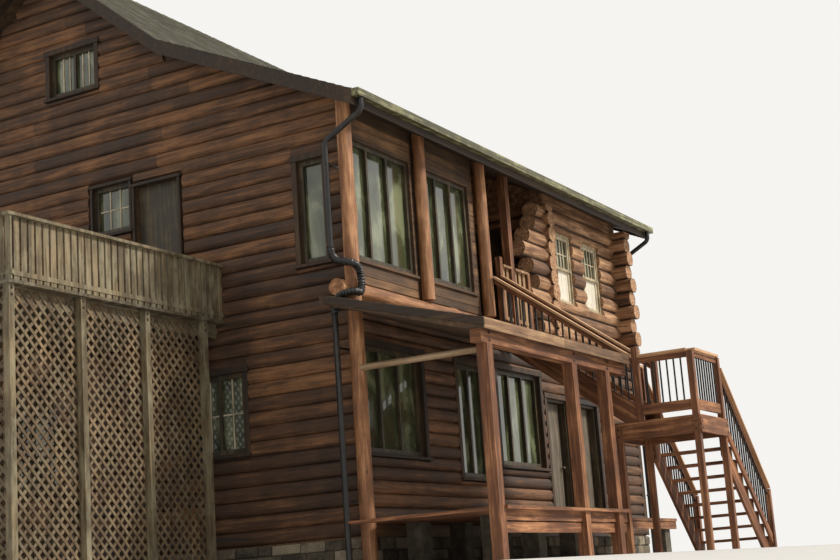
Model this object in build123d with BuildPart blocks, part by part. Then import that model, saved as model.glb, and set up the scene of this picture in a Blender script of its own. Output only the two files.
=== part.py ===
"""Two-storey log cabin for a hillside, with a porch, an outside stair and a side deck.

Millimetres, +Z up. The front faces -Y. The origin is the outer front left corner of the
house at the level of its lowest ground, so the floor that it rests on is Z = 0.
"""
import os
from math import cos, radians, sin, tan

from build123d import *

os.makedirs("parts", exist_ok=True)

# House plan and storeys
house_width = 9900
house_depth = 9100
wall_thickness = 180
lower_floor_top = 650
lower_floor_depth = 200
upper_floor_bottom = 3570
upper_floor_top = 3850
foundation_thickness = 300
foundation_reach = 30
joint_gap = 0.5
fit = 0.3

# Roof: a shallow pitch over the front rooms, steep over the main body
eave_y = -500
eave_top = 6310
low_pitch = 24.9
high_pitch = 39.6
ridge_y = 5250
ridge_top = 9894
back_eave_y = 9600
roof_thickness = 140
roof_left = -500
roof_right = 10200
fascia_height = 220
fascia_thickness = 28
gutter_width = 110
gutter_depth = 105
gutter_wall = 5
gutter_drop = 15

# Round logs of the right half of the upper storey
log_radius = 150
log_pitch = 260
log_courses = 9
log_corner_x = 6720
log_right_x = 9750
log_front_y = 150
log_left_reaches = (500, 620, 880, 560, 760, 1050, 820, 560, 420)
log_right_reaches = (430, 520, 470, 560, 430, 540, 480, 560, 450)
log_front_reaches = (400, 450, 380, 470, 410, 460, 390, 440, 400, 420)

# Recessed entry between the sunroom and the log room
sunroom_right = 3830
recess_back_y = 1950
entry_door_front = 680
entry_door_back = 1620
entry_door_head = 5930

# Windows as left or front edge, right or back edge, sill, head and number of lights
sunroom_windows = ((90, 1800, 4200, 5880, 3), (2140, 3630, 4200, 5880, 3))
log_windows = ((6960, 7700, 4500, 5790, 1), (8190, 8930, 4500, 5790, 1))
lower_windows = ((100, 1700, 1570, 3000, 3), (2780, 3700, 1330, 3000, 2),
                 (4100, 5650, 1560, 3050, 3))
side_windows = ((300, 720, 4200, 5640, 1), (3700, 4400, 5250, 5970, 1),
                (4300, 5200, 7600, 8280, 2), (6300, 7200, 4500, 5790, 1))
side_lower_windows = ((1800, 2700, 1750, 2850, 2), (5200, 6400, 1570, 2850, 2))
right_windows = ((2600, 3340, 4500, 5790, 1), (5800, 6540, 4500, 5790, 1))
right_lower_windows = ((1800, 3000, 1570, 2850, 2), (5600, 6800, 1570, 2850, 2))
back_windows = ((1300, 2500, 4500, 5790, 2), (4350, 5550, 4500, 5790, 2),
                (7300, 8500, 4500, 5790, 2))
frame_width = 60
frame_depth = 110
frame_setback = 20
mullion_width = 45
glass_thickness = 8

# Ground floor doors: the edges of their openings
left_doorway = (5880, 6730)
right_doorway = (7020, 7970)
doorway_head = 2720
door_thickness = 45
door_gap = 8
door_setback = 120
jamb_width = 35
knob_radius = 32
hinge_offset = 2
hinge_reach = 11
hinge_pin = 4
hinge_barrel = 7
hinge_height = 90
hinge_bracket = 12

# Deck door on the left side
deck_door = (2800, 3600)
deck_door_head = 5850

# Peeled round posts of the sunroom
post_radius = 165
corner_post = (-130, -200)
middle_post_x = 1975
right_post_x = 3925
slim_post_radius = 105
rim_log_radius = 125

# Porch under the sunroom
porch_front_y = -2300
porch_left = -450
porch_right = 3560
walk_front_y = -1250
walk_right = 8200
porch_board = 40
porch_rim_height = 130
porch_post_side = 150
porch_post_y = -2180
porch_post_xs = (-500, 2050, 3210)
porch_beam_bottom = 2620
porch_beam_height = 170
porch_roof_left = -780
porch_roof_right = 3900
porch_roof_high = 3540
porch_roof_thickness = 110
porch_roof_reach = -2330
pole_radius = 42
pier_side = 240

# Outside stair: an upper flight towards the front, a landing, a lower flight to the right
stair_left_x = 3950
stair_right_x = 4700
riser = 192
going = 263
upper_risers = 10
landing_top = 1930
landing_left = 3905
landing_right = 5130
landing_front_y = -3300
landing_back_y = -2010
landing_board = 38
landing_rim_height = 220
stair_post_side = 90
lower_risers = 10
lower_going = 200
lower_front_y = -3255
lower_back_y = -2055
tread_thickness = 40
stringer_cover = 105
stringer_depth = 250
stringer_thickness = 45
rail_height = 970
cap_width = 130
cap_thickness = 38
rail_depth = 89
rail_thickness = 38
kick_depth = 150
baluster = 20
baluster_spacing = 108

# Side deck on posts with lattice between them
deck_left = -4150
deck_front_y = 2100
deck_back_y = 4545
deck_top = 3600
deck_board = 38
deck_rim_height = 190
deck_post_side = 90
deck_post_bay = 1222
deck_rail_top = 4410
picket_width = 90
picket_spacing = 122
picket_thickness = 20
picket_rail_height = 60
lattice_bottom = 60
slat_width = 38
slat_thickness = 8
slat_pitch = 108


def low_top(y):
    """Top of the shallow front roof over a place y."""
    return eave_top + (y - eave_y) * tan(radians(low_pitch))


def high_top(y):
    """Top of the steep roof in front of the ridge."""
    return ridge_top - (ridge_y - y) * tan(radians(high_pitch))


def back_top(y):
    """Top of the steep roof behind the ridge."""
    return ridge_top - (y - ridge_y) * tan(radians(high_pitch))


low_rise = roof_thickness / cos(radians(low_pitch))
high_rise = roof_thickness / cos(radians(high_pitch))


def crossing_y(low_drop, high_drop):
    """Where the shallow slope, lowered by low_drop, meets the steep one, lowered by high_drop."""
    slopes = tan(radians(high_pitch)) - tan(radians(low_pitch))
    return (low_top(0) - low_drop - high_top(0) + high_drop) / slopes


break_y = crossing_y(0, 0)
under_break_y = crossing_y(low_rise, high_rise)


def under_roof(y):
    """Underside of the roof over a place y, where walls and posts end."""
    if y < under_break_y:
        return low_top(y) - low_rise
    if y < ridge_y:
        return high_top(y) - high_rise
    return back_top(y) - high_rise


def finish(name, part):
    """Label a finished piece and write it."""
    part.label = name
    export_step(part, f"parts/{name}.step")


def block(x0, x1, y0, y1, z0, z1, mode=Mode.ADD):
    """A squared timber or slab between two corners, in the open part."""
    with Locations(((x0 + x1) / 2, (y0 + y1) / 2, (z0 + z1) / 2)):
        Box(x1 - x0, y1 - y0, z1 - z0, mode=mode)


def outline(plane, points, thickness, mode=Mode.ADD):
    """A flat piece with the given corners, as thick as thickness behind its plane."""
    with BuildSketch(plane) as profile:
        with BuildLine():
            Polyline(*points, close=True)
        make_face()
    extrude(profile.sketch, amount=thickness, mode=mode)


def band(plane, s0, s1, level, slope, depth, width):
    """A board on edge along a slope: its top edge is level + slope * s, centred on plane."""
    with BuildSketch(plane) as profile:
        with BuildLine():
            Polyline((s0, level + slope * s0), (s1, level + slope * s1),
                     (s1, level + slope * s1 - depth), (s0, level + slope * s0 - depth),
                     close=True)
        make_face()
    extrude(profile.sketch, amount=width / 2, both=True)


def front_plane(y):
    """Upright plane across the house at a place y, facing -Y, drawn with X and Z."""
    return Plane((0, y, 0), x_dir=(1, 0, 0), z_dir=(0, -1, 0))


def side_plane(x):
    """Plane that faces +X at a place x, drawn with Y and Z."""
    return Plane((x, 0, 0), x_dir=(0, 1, 0), z_dir=(1, 0, 0))


def front_wall(y, points, windows, thickness=wall_thickness):
    """A wall across the house, from y backwards, with its windows cut through."""
    outline(front_plane(y), points, -thickness)
    for left, right, sill, head, _ in windows:
        block(left, right, y - 1, y + thickness + 1, sill, head, Mode.SUBTRACT)


def side_wall(x, points, windows, thickness=wall_thickness):
    """A wall from front to back, from x to the right, with its windows cut through."""
    outline(side_plane(x), points, thickness)
    for front, back, sill, head, _ in windows:
        block(x - 1, x + thickness + 1, front, back, sill, head, Mode.SUBTRACT)


# Foundation and floors
with BuildPart() as foundation:
    with BuildSketch(Plane.XY):
        with Locations((house_width / 2, house_depth / 2)):
            Rectangle(house_width + 2 * foundation_reach, house_depth + 2 * foundation_reach)
            Rectangle(house_width - 2 * foundation_thickness,
                      house_depth - 2 * foundation_thickness, mode=Mode.SUBTRACT)
    extrude(amount=lower_floor_top - lower_floor_depth)
finish("foundation", foundation.part)

with BuildPart() as lower_floor:
    block(0, house_width, 0, house_depth, lower_floor_top - lower_floor_depth, lower_floor_top)
finish("lower_floor", lower_floor.part)

with BuildPart() as upper_floor:
    block(0, house_width, 0, house_depth, upper_floor_bottom, upper_floor_top)
finish("upper_floor", upper_floor.part)

# Lower walls, split beside and over the two doorways
with BuildPart() as lower_front_wall:
    front_wall(0, ((0, lower_floor_top), (left_doorway[0], lower_floor_top),
                   (left_doorway[0], upper_floor_bottom), (0, upper_floor_bottom)),
               lower_windows)
    block(left_doorway[1], right_doorway[0], 0, wall_thickness, lower_floor_top,
          doorway_head - joint_gap)
    block(right_doorway[1], house_width, 0, wall_thickness, lower_floor_top,
          doorway_head - joint_gap)
    block(left_doorway[0] + joint_gap, house_width, 0, wall_thickness, doorway_head,
          upper_floor_bottom)
finish("lower_front_wall", lower_front_wall.part)

back_wall_y = house_depth - wall_thickness
with BuildPart() as lower_back_wall:
    front_wall(back_wall_y, ((0, lower_floor_top), (house_width, lower_floor_top),
                             (house_width, upper_floor_bottom), (0, upper_floor_bottom)), ())
finish("lower_back_wall", lower_back_wall.part)

side_outline = ((wall_thickness, lower_floor_top), (back_wall_y, lower_floor_top),
                (back_wall_y, upper_floor_bottom), (wall_thickness, upper_floor_bottom))
with BuildPart() as lower_left_wall:
    side_wall(0, side_outline, side_lower_windows)
finish("lower_left_wall", lower_left_wall.part)

with BuildPart() as lower_right_wall:
    side_wall(house_width - wall_thickness, side_outline, right_lower_windows)
finish("lower_right_wall", lower_right_wall.part)


def cap_slope(y, thickness):
    """Corners of a wall section across the roof's slope, from the floor to the roof."""
    return ((y, upper_floor_top), (y + thickness, upper_floor_top),
            (y + thickness, under_roof(y + thickness)), (y, under_roof(y)))


def wall_across(x0, x1, y, windows):
    """A wall across the house from x0 to x1 whose top follows the roof."""
    outline(side_plane(x0), cap_slope(y, wall_thickness), x1 - x0)
    for left, right, sill, head, _ in windows:
        block(left, right, y - 1, y + wall_thickness + 1, sill, head, Mode.SUBTRACT)


# Upper walls of boards
with BuildPart() as sunroom_front_wall:
    wall_across(0, sunroom_right, 0, sunroom_windows)
finish("sunroom_front_wall", sunroom_front_wall.part)

with BuildPart() as sunroom_side_wall:
    side_wall(sunroom_right - wall_thickness,
              ((wall_thickness, upper_floor_top), (recess_back_y, upper_floor_top),
               (recess_back_y, under_roof(recess_back_y)),
               (wall_thickness, under_roof(wall_thickness))), ())
finish("sunroom_side_wall", sunroom_side_wall.part)

entry_wall_right = log_corner_x + log_radius
with BuildPart() as recess_back_wall:
    wall_across(sunroom_right - wall_thickness, entry_wall_right, recess_back_y, ())
finish("recess_back_wall", recess_back_wall.part)

upper_back_right = log_right_x - log_radius
with BuildPart() as upper_back_wall:
    wall_across(0, upper_back_right, back_wall_y, back_windows)
finish("upper_back_wall", upper_back_wall.part)

with BuildPart() as upper_left_wall:
    side_wall(0, ((wall_thickness, upper_floor_top), (back_wall_y, upper_floor_top),
                  (back_wall_y, under_roof(back_wall_y)), (ridge_y, under_roof(ridge_y)),
                  (under_break_y, under_roof(under_break_y)),
                  (wall_thickness, under_roof(wall_thickness))), side_windows)
    block(-1, wall_thickness + 1, deck_door[0], deck_door[1], upper_floor_top, deck_door_head,
          Mode.SUBTRACT)
finish("upper_left_wall", upper_left_wall.part)

# Round log walls with saddle-notched corners: each log is notched underneath, to half its
# height, over the log that crosses below it
log_half = (log_pitch - joint_gap) / 2
log_wall_top = upper_floor_top + log_courses * log_pitch


def log_level(course):
    """Centre height of a log that runs across the house."""
    return upper_floor_top + log_pitch / 2 + course * log_pitch


def side_log_level(course):
    """Centre height of a log that runs from front to back, half a course lower."""
    return upper_floor_top + course * log_pitch


def log(plane, centre, level, length):
    """A round log, hewn flat above and below where the next courses lie."""
    bottom = max(level - log_half, upper_floor_top)
    top = min(level + log_half, log_wall_top)
    with BuildSketch(plane) as profile:
        with Locations((centre, level)):
            Circle(log_radius)
        with Locations((centre, (bottom + top) / 2)):
            Rectangle(2 * log_radius, top - bottom, mode=Mode.INTERSECT)
    extrude(profile.sketch, amount=length)


def saddle(plane, centre, level, length):
    """Cut the notch that fits over the upper half of the crossing log at level."""
    with BuildSketch(plane) as profile:
        with Locations((centre, level)):
            Circle(log_radius + fit)
        with Locations((centre, level + (log_half + fit) / 2)):
            Rectangle(2 * log_radius + 2 * fit, log_half + fit, mode=Mode.INTERSECT)
    extrude(profile.sketch, amount=length, mode=Mode.SUBTRACT)


crossing_reach = 2 * log_radius + max(log_left_reaches) + max(log_front_reaches)

with BuildPart() as log_front_wall:
    for course in range(log_courses):
        start = log_corner_x - log_left_reaches[course]
        end = log_right_x + log_right_reaches[course]
        log(side_plane(start), log_front_y, log_level(course), end - start)
    for course in range(log_courses):
        for centre in (log_corner_x, log_right_x):
            saddle(front_plane(log_front_y + log_radius + 1), centre, side_log_level(course),
                   2 * log_radius + 2)
    for left, right, sill, head, _ in log_windows:
        block(left, right, log_front_y - log_radius - 1, log_front_y + log_radius + 1,
              sill, head, Mode.SUBTRACT)
finish("log_front_wall", log_front_wall.part)


def side_log_wall(centre, back):
    """Logs from front to back at x = centre, with ends that pass the front wall."""
    for course in range(log_courses + 1):
        front = log_front_y - log_front_reaches[course]
        log(front_plane(front), centre, side_log_level(course), front - back)
    for course in range(1, log_courses + 1):
        saddle(side_plane(centre - log_radius - 1), log_front_y, log_level(course - 1),
               2 * log_radius + 2)


with BuildPart() as log_entry_wall:
    side_log_wall(log_corner_x, recess_back_y)
    block(log_corner_x - log_radius - 1, log_corner_x + log_radius + 1, entry_door_front,
          entry_door_back, upper_floor_top - 1, entry_door_head, Mode.SUBTRACT)
finish("log_entry_wall", log_entry_wall.part)

with BuildPart() as log_right_wall:
    side_log_wall(log_right_x, house_depth)
    for front, back, sill, head, _ in right_windows:
        block(log_right_x - log_radius - 1, log_right_x + log_radius + 1, front, back,
              sill, head, Mode.SUBTRACT)
finish("log_right_wall", log_right_wall.part)

# Wall between the log walls and the roof
plate_inset = 30
plate_thickness = 2 * (log_radius - plate_inset)
plate_y = log_front_y - log_radius + plate_inset
plate_back = plate_y + plate_thickness
gable_x = log_right_x - log_radius + plate_inset
with BuildPart() as log_wall_plate:
    outline(side_plane(log_corner_x - log_radius + plate_inset),
            ((plate_y, log_wall_top), (plate_back, log_wall_top),
             (plate_back, under_roof(plate_back)), (plate_y, under_roof(plate_y))),
            gable_x + plate_thickness - log_corner_x + log_radius - plate_inset)
    outline(side_plane(log_corner_x - log_radius + plate_inset),
            ((plate_back + joint_gap, log_wall_top), (recess_back_y, log_wall_top),
             (recess_back_y, under_roof(recess_back_y)),
             (plate_back + joint_gap, under_roof(plate_back + joint_gap))), plate_thickness)
finish("log_wall_plate", log_wall_plate.part)

with BuildPart() as right_gable:
    outline(side_plane(gable_x),
            ((plate_back, log_wall_top), (house_depth, log_wall_top),
             (house_depth, under_roof(house_depth)), (ridge_y, under_roof(ridge_y)),
             (under_break_y, under_roof(under_break_y)), (plate_back, under_roof(plate_back))),
            plate_thickness)
    block(gable_x - 1, gable_x + plate_thickness + 1, 4300, 5200, 7600, 8280, Mode.SUBTRACT)
finish("right_gable", right_gable.part)

# Roof
roof_length = roof_right - roof_left
with BuildPart() as front_low_roof:
    outline(side_plane(roof_left),
            ((eave_y, low_top(eave_y)), (break_y, low_top(break_y)),
             (under_break_y, under_roof(under_break_y)), (eave_y, low_top(eave_y) - low_rise)),
            roof_length)
finish("front_low_roof", front_low_roof.part)

with BuildPart() as front_high_roof:
    outline(side_plane(roof_left),
            ((break_y, high_top(break_y)), (ridge_y, ridge_top),
             (ridge_y, ridge_top - high_rise), (under_break_y, under_roof(under_break_y))),
            roof_length)
finish("front_high_roof", front_high_roof.part)

with BuildPart() as back_roof:
    outline(side_plane(roof_left),
            ((ridge_y, ridge_top), (back_eave_y, back_top(back_eave_y)),
             (back_eave_y, back_top(back_eave_y) - high_rise), (ridge_y, ridge_top - high_rise)),
            roof_length)
finish("back_roof", back_roof.part)


def rake_board(x):
    """Barge boards up the slopes of one gable, in the plane at x."""
    drop = fascia_height
    outline(side_plane(x), ((eave_y, low_top(eave_y)), (break_y, low_top(break_y)),
                            (ridge_y, ridge_top), (back_eave_y, back_top(back_eave_y)),
                            (back_eave_y, back_top(back_eave_y) - drop),
                            (ridge_y, ridge_top - drop), (break_y, low_top(break_y) - drop),
                            (eave_y, low_top(eave_y) - drop)), fascia_thickness)


eave_left = roof_left - fascia_thickness
eave_right = roof_right + fascia_thickness
with BuildPart() as fascia_boards:
    rake_board(eave_left)
    rake_board(roof_right)
    block(eave_left, eave_right, eave_y - fascia_thickness, eave_y - fit,
          eave_top - fascia_height, eave_top)
    block(eave_left, eave_right, back_eave_y + fit, back_eave_y + fascia_thickness,
          back_top(back_eave_y) - fascia_height, back_top(back_eave_y))
finish("fascia_boards", fascia_boards.part)


def gutter(back, towards, top):
    """An open trough along an eave: back is the fascia's face and towards is -1 or 1."""
    front = back + towards * gutter_width
    inner_back = back + towards * gutter_wall
    inner_front = front - towards * gutter_wall
    low, high = min(back, front), max(back, front)
    block(eave_left, eave_right, low, high, top - gutter_depth, top)
    block(eave_left + gutter_wall, eave_right - gutter_wall, min(inner_back, inner_front),
          max(inner_back, inner_front), top - gutter_depth + gutter_wall, top + 1,
          Mode.SUBTRACT)


front_gutter_back = eave_y - fascia_thickness
front_gutter_top = eave_top - gutter_drop
with BuildPart() as front_gutter:
    gutter(front_gutter_back, -1, front_gutter_top)
finish("front_gutter", front_gutter.part)


def route(points, bend):
    """A line through the points with a round bend of the given reach at each corner."""
    corners = [Vector(*point) for point in points]
    here = corners[0]
    for before, corner, after in zip(corners, corners[1:], corners[2:]):
        into = (corner - before).normalized()
        away = (after - corner).normalized()
        start = corner - into * bend
        end = corner + away * bend
        Line(here, start)
        TangentArc(start, end, tangent=into)
        here = end
    Line(here, corners[-1])


def pipe(points, radius, bend):
    """A round pipe along a route."""
    with BuildLine() as path:
        route(points, bend)
    first = Vector(*points[0])
    with BuildSketch(Plane(first, z_dir=Vector(*points[1]) - first)) as profile:
        Circle(radius)
    sweep(profile.sketch, path=path.wires()[0])


spout_radius = 40
hose_radius = 46
spout_x = -400
spout_y = 15
gutter_y = front_gutter_back - gutter_width / 2
hose_y = corner_post[1] - post_radius - hose_radius - 25
hose_top = 4200
hose_bottom = 3490
hose_right = 120
hose_mid = (hose_top + hose_bottom) / 2
with BuildPart() as downspouts:
    pipe(((spout_x, gutter_y, front_gutter_top - gutter_depth - fit), (spout_x, gutter_y, 6020),
          (spout_x, spout_y, 5700), (spout_x, spout_y, hose_top)), spout_radius, 70)
    pipe(((spout_x, spout_y, hose_bottom - fit), (spout_x, spout_y, 0)), spout_radius, 70)
    pipe(((house_width + 120, gutter_y, front_gutter_top - gutter_depth - fit),
          (house_width + 120, gutter_y, 6020), (house_width + 120, -60 - spout_radius, 5760),
          (house_width + 120, -60 - spout_radius, 0)), spout_radius, 70)
    pipe(((spout_x, spout_y, hose_top - fit), (spout_x, spout_y, hose_top - 130),
          (spout_x, hose_y, hose_top - 200), (hose_right, hose_y, hose_mid),
          (spout_x, hose_y, hose_bottom + 200), (spout_x, spout_y, hose_bottom + 130),
          (spout_x, spout_y, hose_bottom)), hose_radius, 60)
finish("downspouts", downspouts.part)


def roof_cut():
    """Take away what stands above the underside of the front roof."""
    outline(side_plane(porch_roof_left),
            ((eave_y, under_roof(eave_y)), (break_y, under_roof(break_y)),
             (break_y, ridge_top), (eave_y, ridge_top)),
            roof_length, Mode.SUBTRACT)


# Peeled round posts up the front of the sunroom, and half-round logs along the floor's edge
middle_post_y = -slim_post_radius - fit
rim_log_z = upper_floor_bottom + rim_log_radius
slim_post_bottom = rim_log_z + rim_log_radius + fit
with BuildPart() as round_posts:
    with Locations((corner_post[0], corner_post[1], 0)):
        Cylinder(post_radius, low_top(0), align=(Align.CENTER, Align.CENTER, Align.MIN))
    for x in (middle_post_x, right_post_x):
        with Locations((x, middle_post_y, slim_post_bottom)):
            Cylinder(slim_post_radius, low_top(0) - slim_post_bottom,
                     align=(Align.CENTER, Align.CENTER, Align.MIN))
    roof_cut()
finish("round_posts", round_posts.part)

rim_log_spans = ((corner_post[0] + post_radius + fit, stair_left_x - 30),
                 (stair_right_x + 100, house_width))
with BuildPart() as rim_logs:
    for start, end in rim_log_spans:
        with BuildSketch(side_plane(start)):
            with Locations((0, rim_log_z)):
                Circle(rim_log_radius)
            with Locations((-rim_log_radius / 2, rim_log_z)):
                Rectangle(rim_log_radius, 2 * rim_log_radius, mode=Mode.INTERSECT)
        extrude(amount=end - start)
finish("rim_logs", rim_logs.part)


def window_lights(left, right, sill, head, lights, rows):
    """Centres and sizes of the openings between a window's frame and mullions."""
    width = (right - left - 2 * frame_width - (lights - 1) * mullion_width) / lights
    height = (head - sill - 2 * frame_width - (rows - 1) * mullion_width) / rows
    centres = [(left + frame_width + width / 2 + i * (width + mullion_width),
                sill + frame_width + height / 2 + j * (height + mullion_width))
               for i in range(lights) for j in range(rows)]
    return centres, width, height


def window_frame(plane, window, rows=1):
    """A window frame with its mullions, in the wall behind plane."""
    left, right, sill, head, lights = window
    centres, width, height = window_lights(left, right, sill, head, lights, rows)
    with BuildSketch(plane) as profile:
        with Locations(((left + right) / 2, (sill + head) / 2)):
            Rectangle(right - left - 2 * fit, head - sill - 2 * fit)
        with Locations(*centres):
            Rectangle(width, height, mode=Mode.SUBTRACT)
    extrude(profile.sketch, amount=-frame_depth)


def window_glass(plane, window, rows=1):
    """The panes of a window, half way back in its frame."""
    left, right, sill, head, lights = window
    centres, width, height = window_lights(left, right, sill, head, lights, rows)
    with BuildSketch(plane.offset(-frame_depth / 2)) as profile:
        with Locations(*centres):
            Rectangle(width - 2 * fit, height - 2 * fit)
    extrude(profile.sketch, amount=-glass_thickness)


def left_face(x):
    """Plane of a wall that faces -X, drawn with Y and Z from inside the wall."""
    return side_plane(x + frame_depth)


log_window_y = 2 * plate_inset
front_face = front_plane(frame_setback)
log_face = front_plane(log_window_y)
right_face = side_plane(log_right_x + log_radius - log_window_y)
right_lower_face = side_plane(house_width - frame_setback)
back_face = front_plane(house_depth - frame_setback - frame_depth)
gable_window = (4300, 5200, 7600, 8280, 2)

upper_windows = ([(front_face, window, 1) for window in sunroom_windows]
                 + [(log_face, window, 2) for window in log_windows]
                 + [(left_face(frame_setback), window, 1) for window in side_windows]
                 + [(right_face, window, 2) for window in right_windows]
                 + [(side_plane(gable_x + plate_thickness - frame_setback), gable_window, 1)]
                 + [(back_face, window, 1) for window in back_windows])
ground_windows = ([(front_face, window, 1) for window in lower_windows]
                  + [(left_face(frame_setback), window, 1) for window in side_lower_windows]
                  + [(right_lower_face, window, 1) for window in right_lower_windows])

with BuildPart() as upper_window_frames:
    for plane, window, rows in upper_windows:
        window_frame(plane, window, rows)
finish("upper_window_frames", upper_window_frames.part)

with BuildPart() as upper_glass:
    for plane, window, rows in upper_windows:
        window_glass(plane, window, rows)
finish("upper_glass", upper_glass.part)

with BuildPart() as lower_window_frames:
    for plane, window, rows in ground_windows:
        window_frame(plane, window, rows)
finish("lower_window_frames", lower_window_frames.part)

with BuildPart() as lower_glass:
    for plane, window, rows in ground_windows:
        window_glass(plane, window, rows)
finish("lower_glass", lower_glass.part)


# Doors
def door_frame(doorway):
    """Two jambs and the head over them, inside a doorway."""
    left, right = doorway
    jamb_top = doorway_head - jamb_width
    block(left + fit, left + jamb_width, 0, wall_thickness, lower_floor_top, jamb_top - fit)
    block(right - jamb_width, right - fit, 0, wall_thickness, lower_floor_top, jamb_top - fit)
    block(left + fit, right - fit, 0, wall_thickness, jamb_top, doorway_head - fit)


with BuildPart() as door_frames:
    door_frame(left_doorway)
    door_frame(right_doorway)
finish("door_frames", door_frames.part)

leaf_bottom = lower_floor_top + door_gap
leaf_top = doorway_head - jamb_width - door_gap
knob_z = lower_floor_top + 950


def door_leaf(doorway):
    """A plain leaf near the inner face of the wall, clear of its jambs."""
    block(doorway[0] + jamb_width + door_gap, doorway[1] - jamb_width - door_gap,
          door_setback, door_setback + door_thickness, leaf_bottom, leaf_top)


def door_knob(x):
    """A round knob on its rose, on the outside of a leaf."""
    with BuildSketch(Plane((x, door_setback - fit, knob_z), x_dir=(1, 0, 0),
                           z_dir=(0, -1, 0))) as rose:
        Circle(knob_radius)
    extrude(rose.sketch, amount=6)
    with BuildSketch(Plane((x, door_setback - fit - 6, knob_z), x_dir=(1, 0, 0),
                           z_dir=(0, -1, 0))) as neck:
        Circle(knob_radius / 3)
    extrude(neck.sketch, amount=25)
    with Locations((x, door_setback - fit - 6 - 25 - knob_radius * 0.6, knob_z)):
        Sphere(knob_radius * 0.85)


def hinge_axis(doorway, side):
    """Where a leaf's pins stand: side is -1 for hinges on the left jamb, 1 on the right."""
    edge = doorway[0] if side < 0 else doorway[1]
    x = edge - side * (jamb_width + door_gap + hinge_offset)
    return x, door_setback + door_thickness + hinge_reach


def hinge_levels():
    """Undersides of the three barrels of one leaf."""
    low = leaf_bottom + 250
    high = leaf_top - 250 - hinge_height
    return low, (low + high) / 2, high


def hinge_barrels(doorway, side):
    """Three barrels with their straps on the inner face of a leaf."""
    x, y = hinge_axis(doorway, side)
    inner_face = door_setback + door_thickness
    centre = (x, y)
    for z in hinge_levels():
        with BuildSketch(Plane.XY.offset(z)) as profile:
            with Locations(centre):
                Circle(hinge_barrel)
            with Locations((x - side * 30, (inner_face + y - hinge_pin) / 2)):
                Rectangle(60, y - hinge_pin - inner_face)
            with Locations(centre):
                Circle(hinge_pin + fit, mode=Mode.SUBTRACT)
        extrude(profile.sketch, amount=hinge_height)


def hinge_pins(doorway, side):
    """Three pins on brackets that stand out of the jamb, one under each barrel."""
    x, y = hinge_axis(doorway, side)
    jamb_face = (doorway[0] if side < 0 else doorway[1]) - side * jamb_width
    reach = x - side * 6
    for z in hinge_levels():
        block(min(jamb_face, reach), max(jamb_face, reach), y - hinge_barrel, y + hinge_barrel,
              z - fit - hinge_bracket, z - fit)
        with Locations((x, y, z - fit)):
            Cylinder(hinge_pin, hinge_height, align=(Align.CENTER, Align.CENTER, Align.MIN))


left_knob_x = left_doorway[1] - jamb_width - 75
right_knob_x = right_doorway[0] + jamb_width + 75
with BuildPart() as left_door:
    door_leaf(left_doorway)
    hinge_barrels(left_doorway, -1)
    door_knob(left_knob_x)
finish("left_door", left_door.part)

with BuildPart() as right_door:
    door_leaf(right_doorway)
    hinge_barrels(right_doorway, 1)
    door_knob(right_knob_x)
finish("right_door", right_door.part)

with BuildPart() as door_hinges:
    hinge_pins(left_doorway, -1)
    hinge_pins(right_doorway, 1)
finish("door_hinges", door_hinges.part)

entry_leaf_x = log_corner_x - door_thickness / 2
glazed_inset = 150
with BuildPart() as upper_doors:
    block(entry_leaf_x, entry_leaf_x + door_thickness, entry_door_front + fit,
          entry_door_back - fit, upper_floor_top, entry_door_head - fit)
    block(entry_leaf_x - 1, entry_leaf_x + door_thickness + 1,
          entry_door_front + glazed_inset, entry_door_back - glazed_inset,
          upper_floor_top + 450, entry_door_head - glazed_inset, Mode.SUBTRACT)
    block(entry_leaf_x + 18, entry_leaf_x + 27,
          entry_door_front + glazed_inset, entry_door_back - glazed_inset,
          upper_floor_top + 450, entry_door_head - glazed_inset)
    block(60, 60 + door_thickness, deck_door[0] + fit, deck_door[1] - fit, upper_floor_top,
          deck_door_head - fit)
finish("upper_doors", upper_doors.part)

# Porch
porch_floor_bottom = lower_floor_top - porch_board
with BuildPart() as porch_floor:
    with BuildSketch(Plane.XY.offset(porch_floor_bottom)):
        with BuildLine():
            Polyline((porch_left, porch_front_y), (porch_right, porch_front_y),
                     (porch_right, walk_front_y), (walk_right, walk_front_y),
                     (walk_right, -foundation_reach), (porch_left, -foundation_reach),
                     close=True)
        make_face()
        half = porch_post_side / 2 + fit
        for x in porch_post_xs:
            with Locations((x, porch_post_y)):
                Rectangle(2 * half, 2 * half, mode=Mode.SUBTRACT)
        with Locations(corner_post):
            Circle(post_radius + fit, mode=Mode.SUBTRACT)
        with Locations((spout_x, spout_y)):
            Circle(spout_radius + fit, mode=Mode.SUBTRACT)
    extrude(amount=porch_board)
finish("porch_floor", porch_floor.part)

rim_bottom = porch_floor_bottom - porch_rim_height
with BuildPart() as porch_rims:
    post_edge = porch_post_side / 2 + fit
    for left, right in zip(porch_post_xs, porch_post_xs[1:] + (porch_right + post_edge,)):
        block(left + post_edge, right - post_edge, porch_post_y - 20, porch_post_y + 20,
              rim_bottom, porch_floor_bottom)
        block(left + post_edge, right - post_edge, porch_post_y, porch_post_y + 40,
              rim_bottom - porch_rim_height - 15, rim_bottom - 15)
    block(porch_right + 1, walk_right, walk_front_y + 20, walk_front_y + 60,
          rim_bottom, porch_floor_bottom)
finish("porch_rims", porch_rims.part)

pier_places = [(x, y) for x in (700, 1900, 3100) for y in (-1500, -400)]
pier_places += [(x, walk_front_y + 200) for x in (4600, 6200, 7900)]
with BuildPart() as porch_piers:
    for x, y in pier_places:
        block(x - pier_side / 2, x + pier_side / 2, y - pier_side / 2, y + pier_side / 2,
              0, porch_floor_bottom)
finish("porch_piers", porch_piers.part)

with BuildPart() as porch_posts:
    for x in porch_post_xs:
        half = porch_post_side / 2
        block(x - half, x + half, porch_post_y - half, porch_post_y + half, 0,
              porch_beam_bottom)
finish("porch_posts", porch_posts.part)

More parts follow.
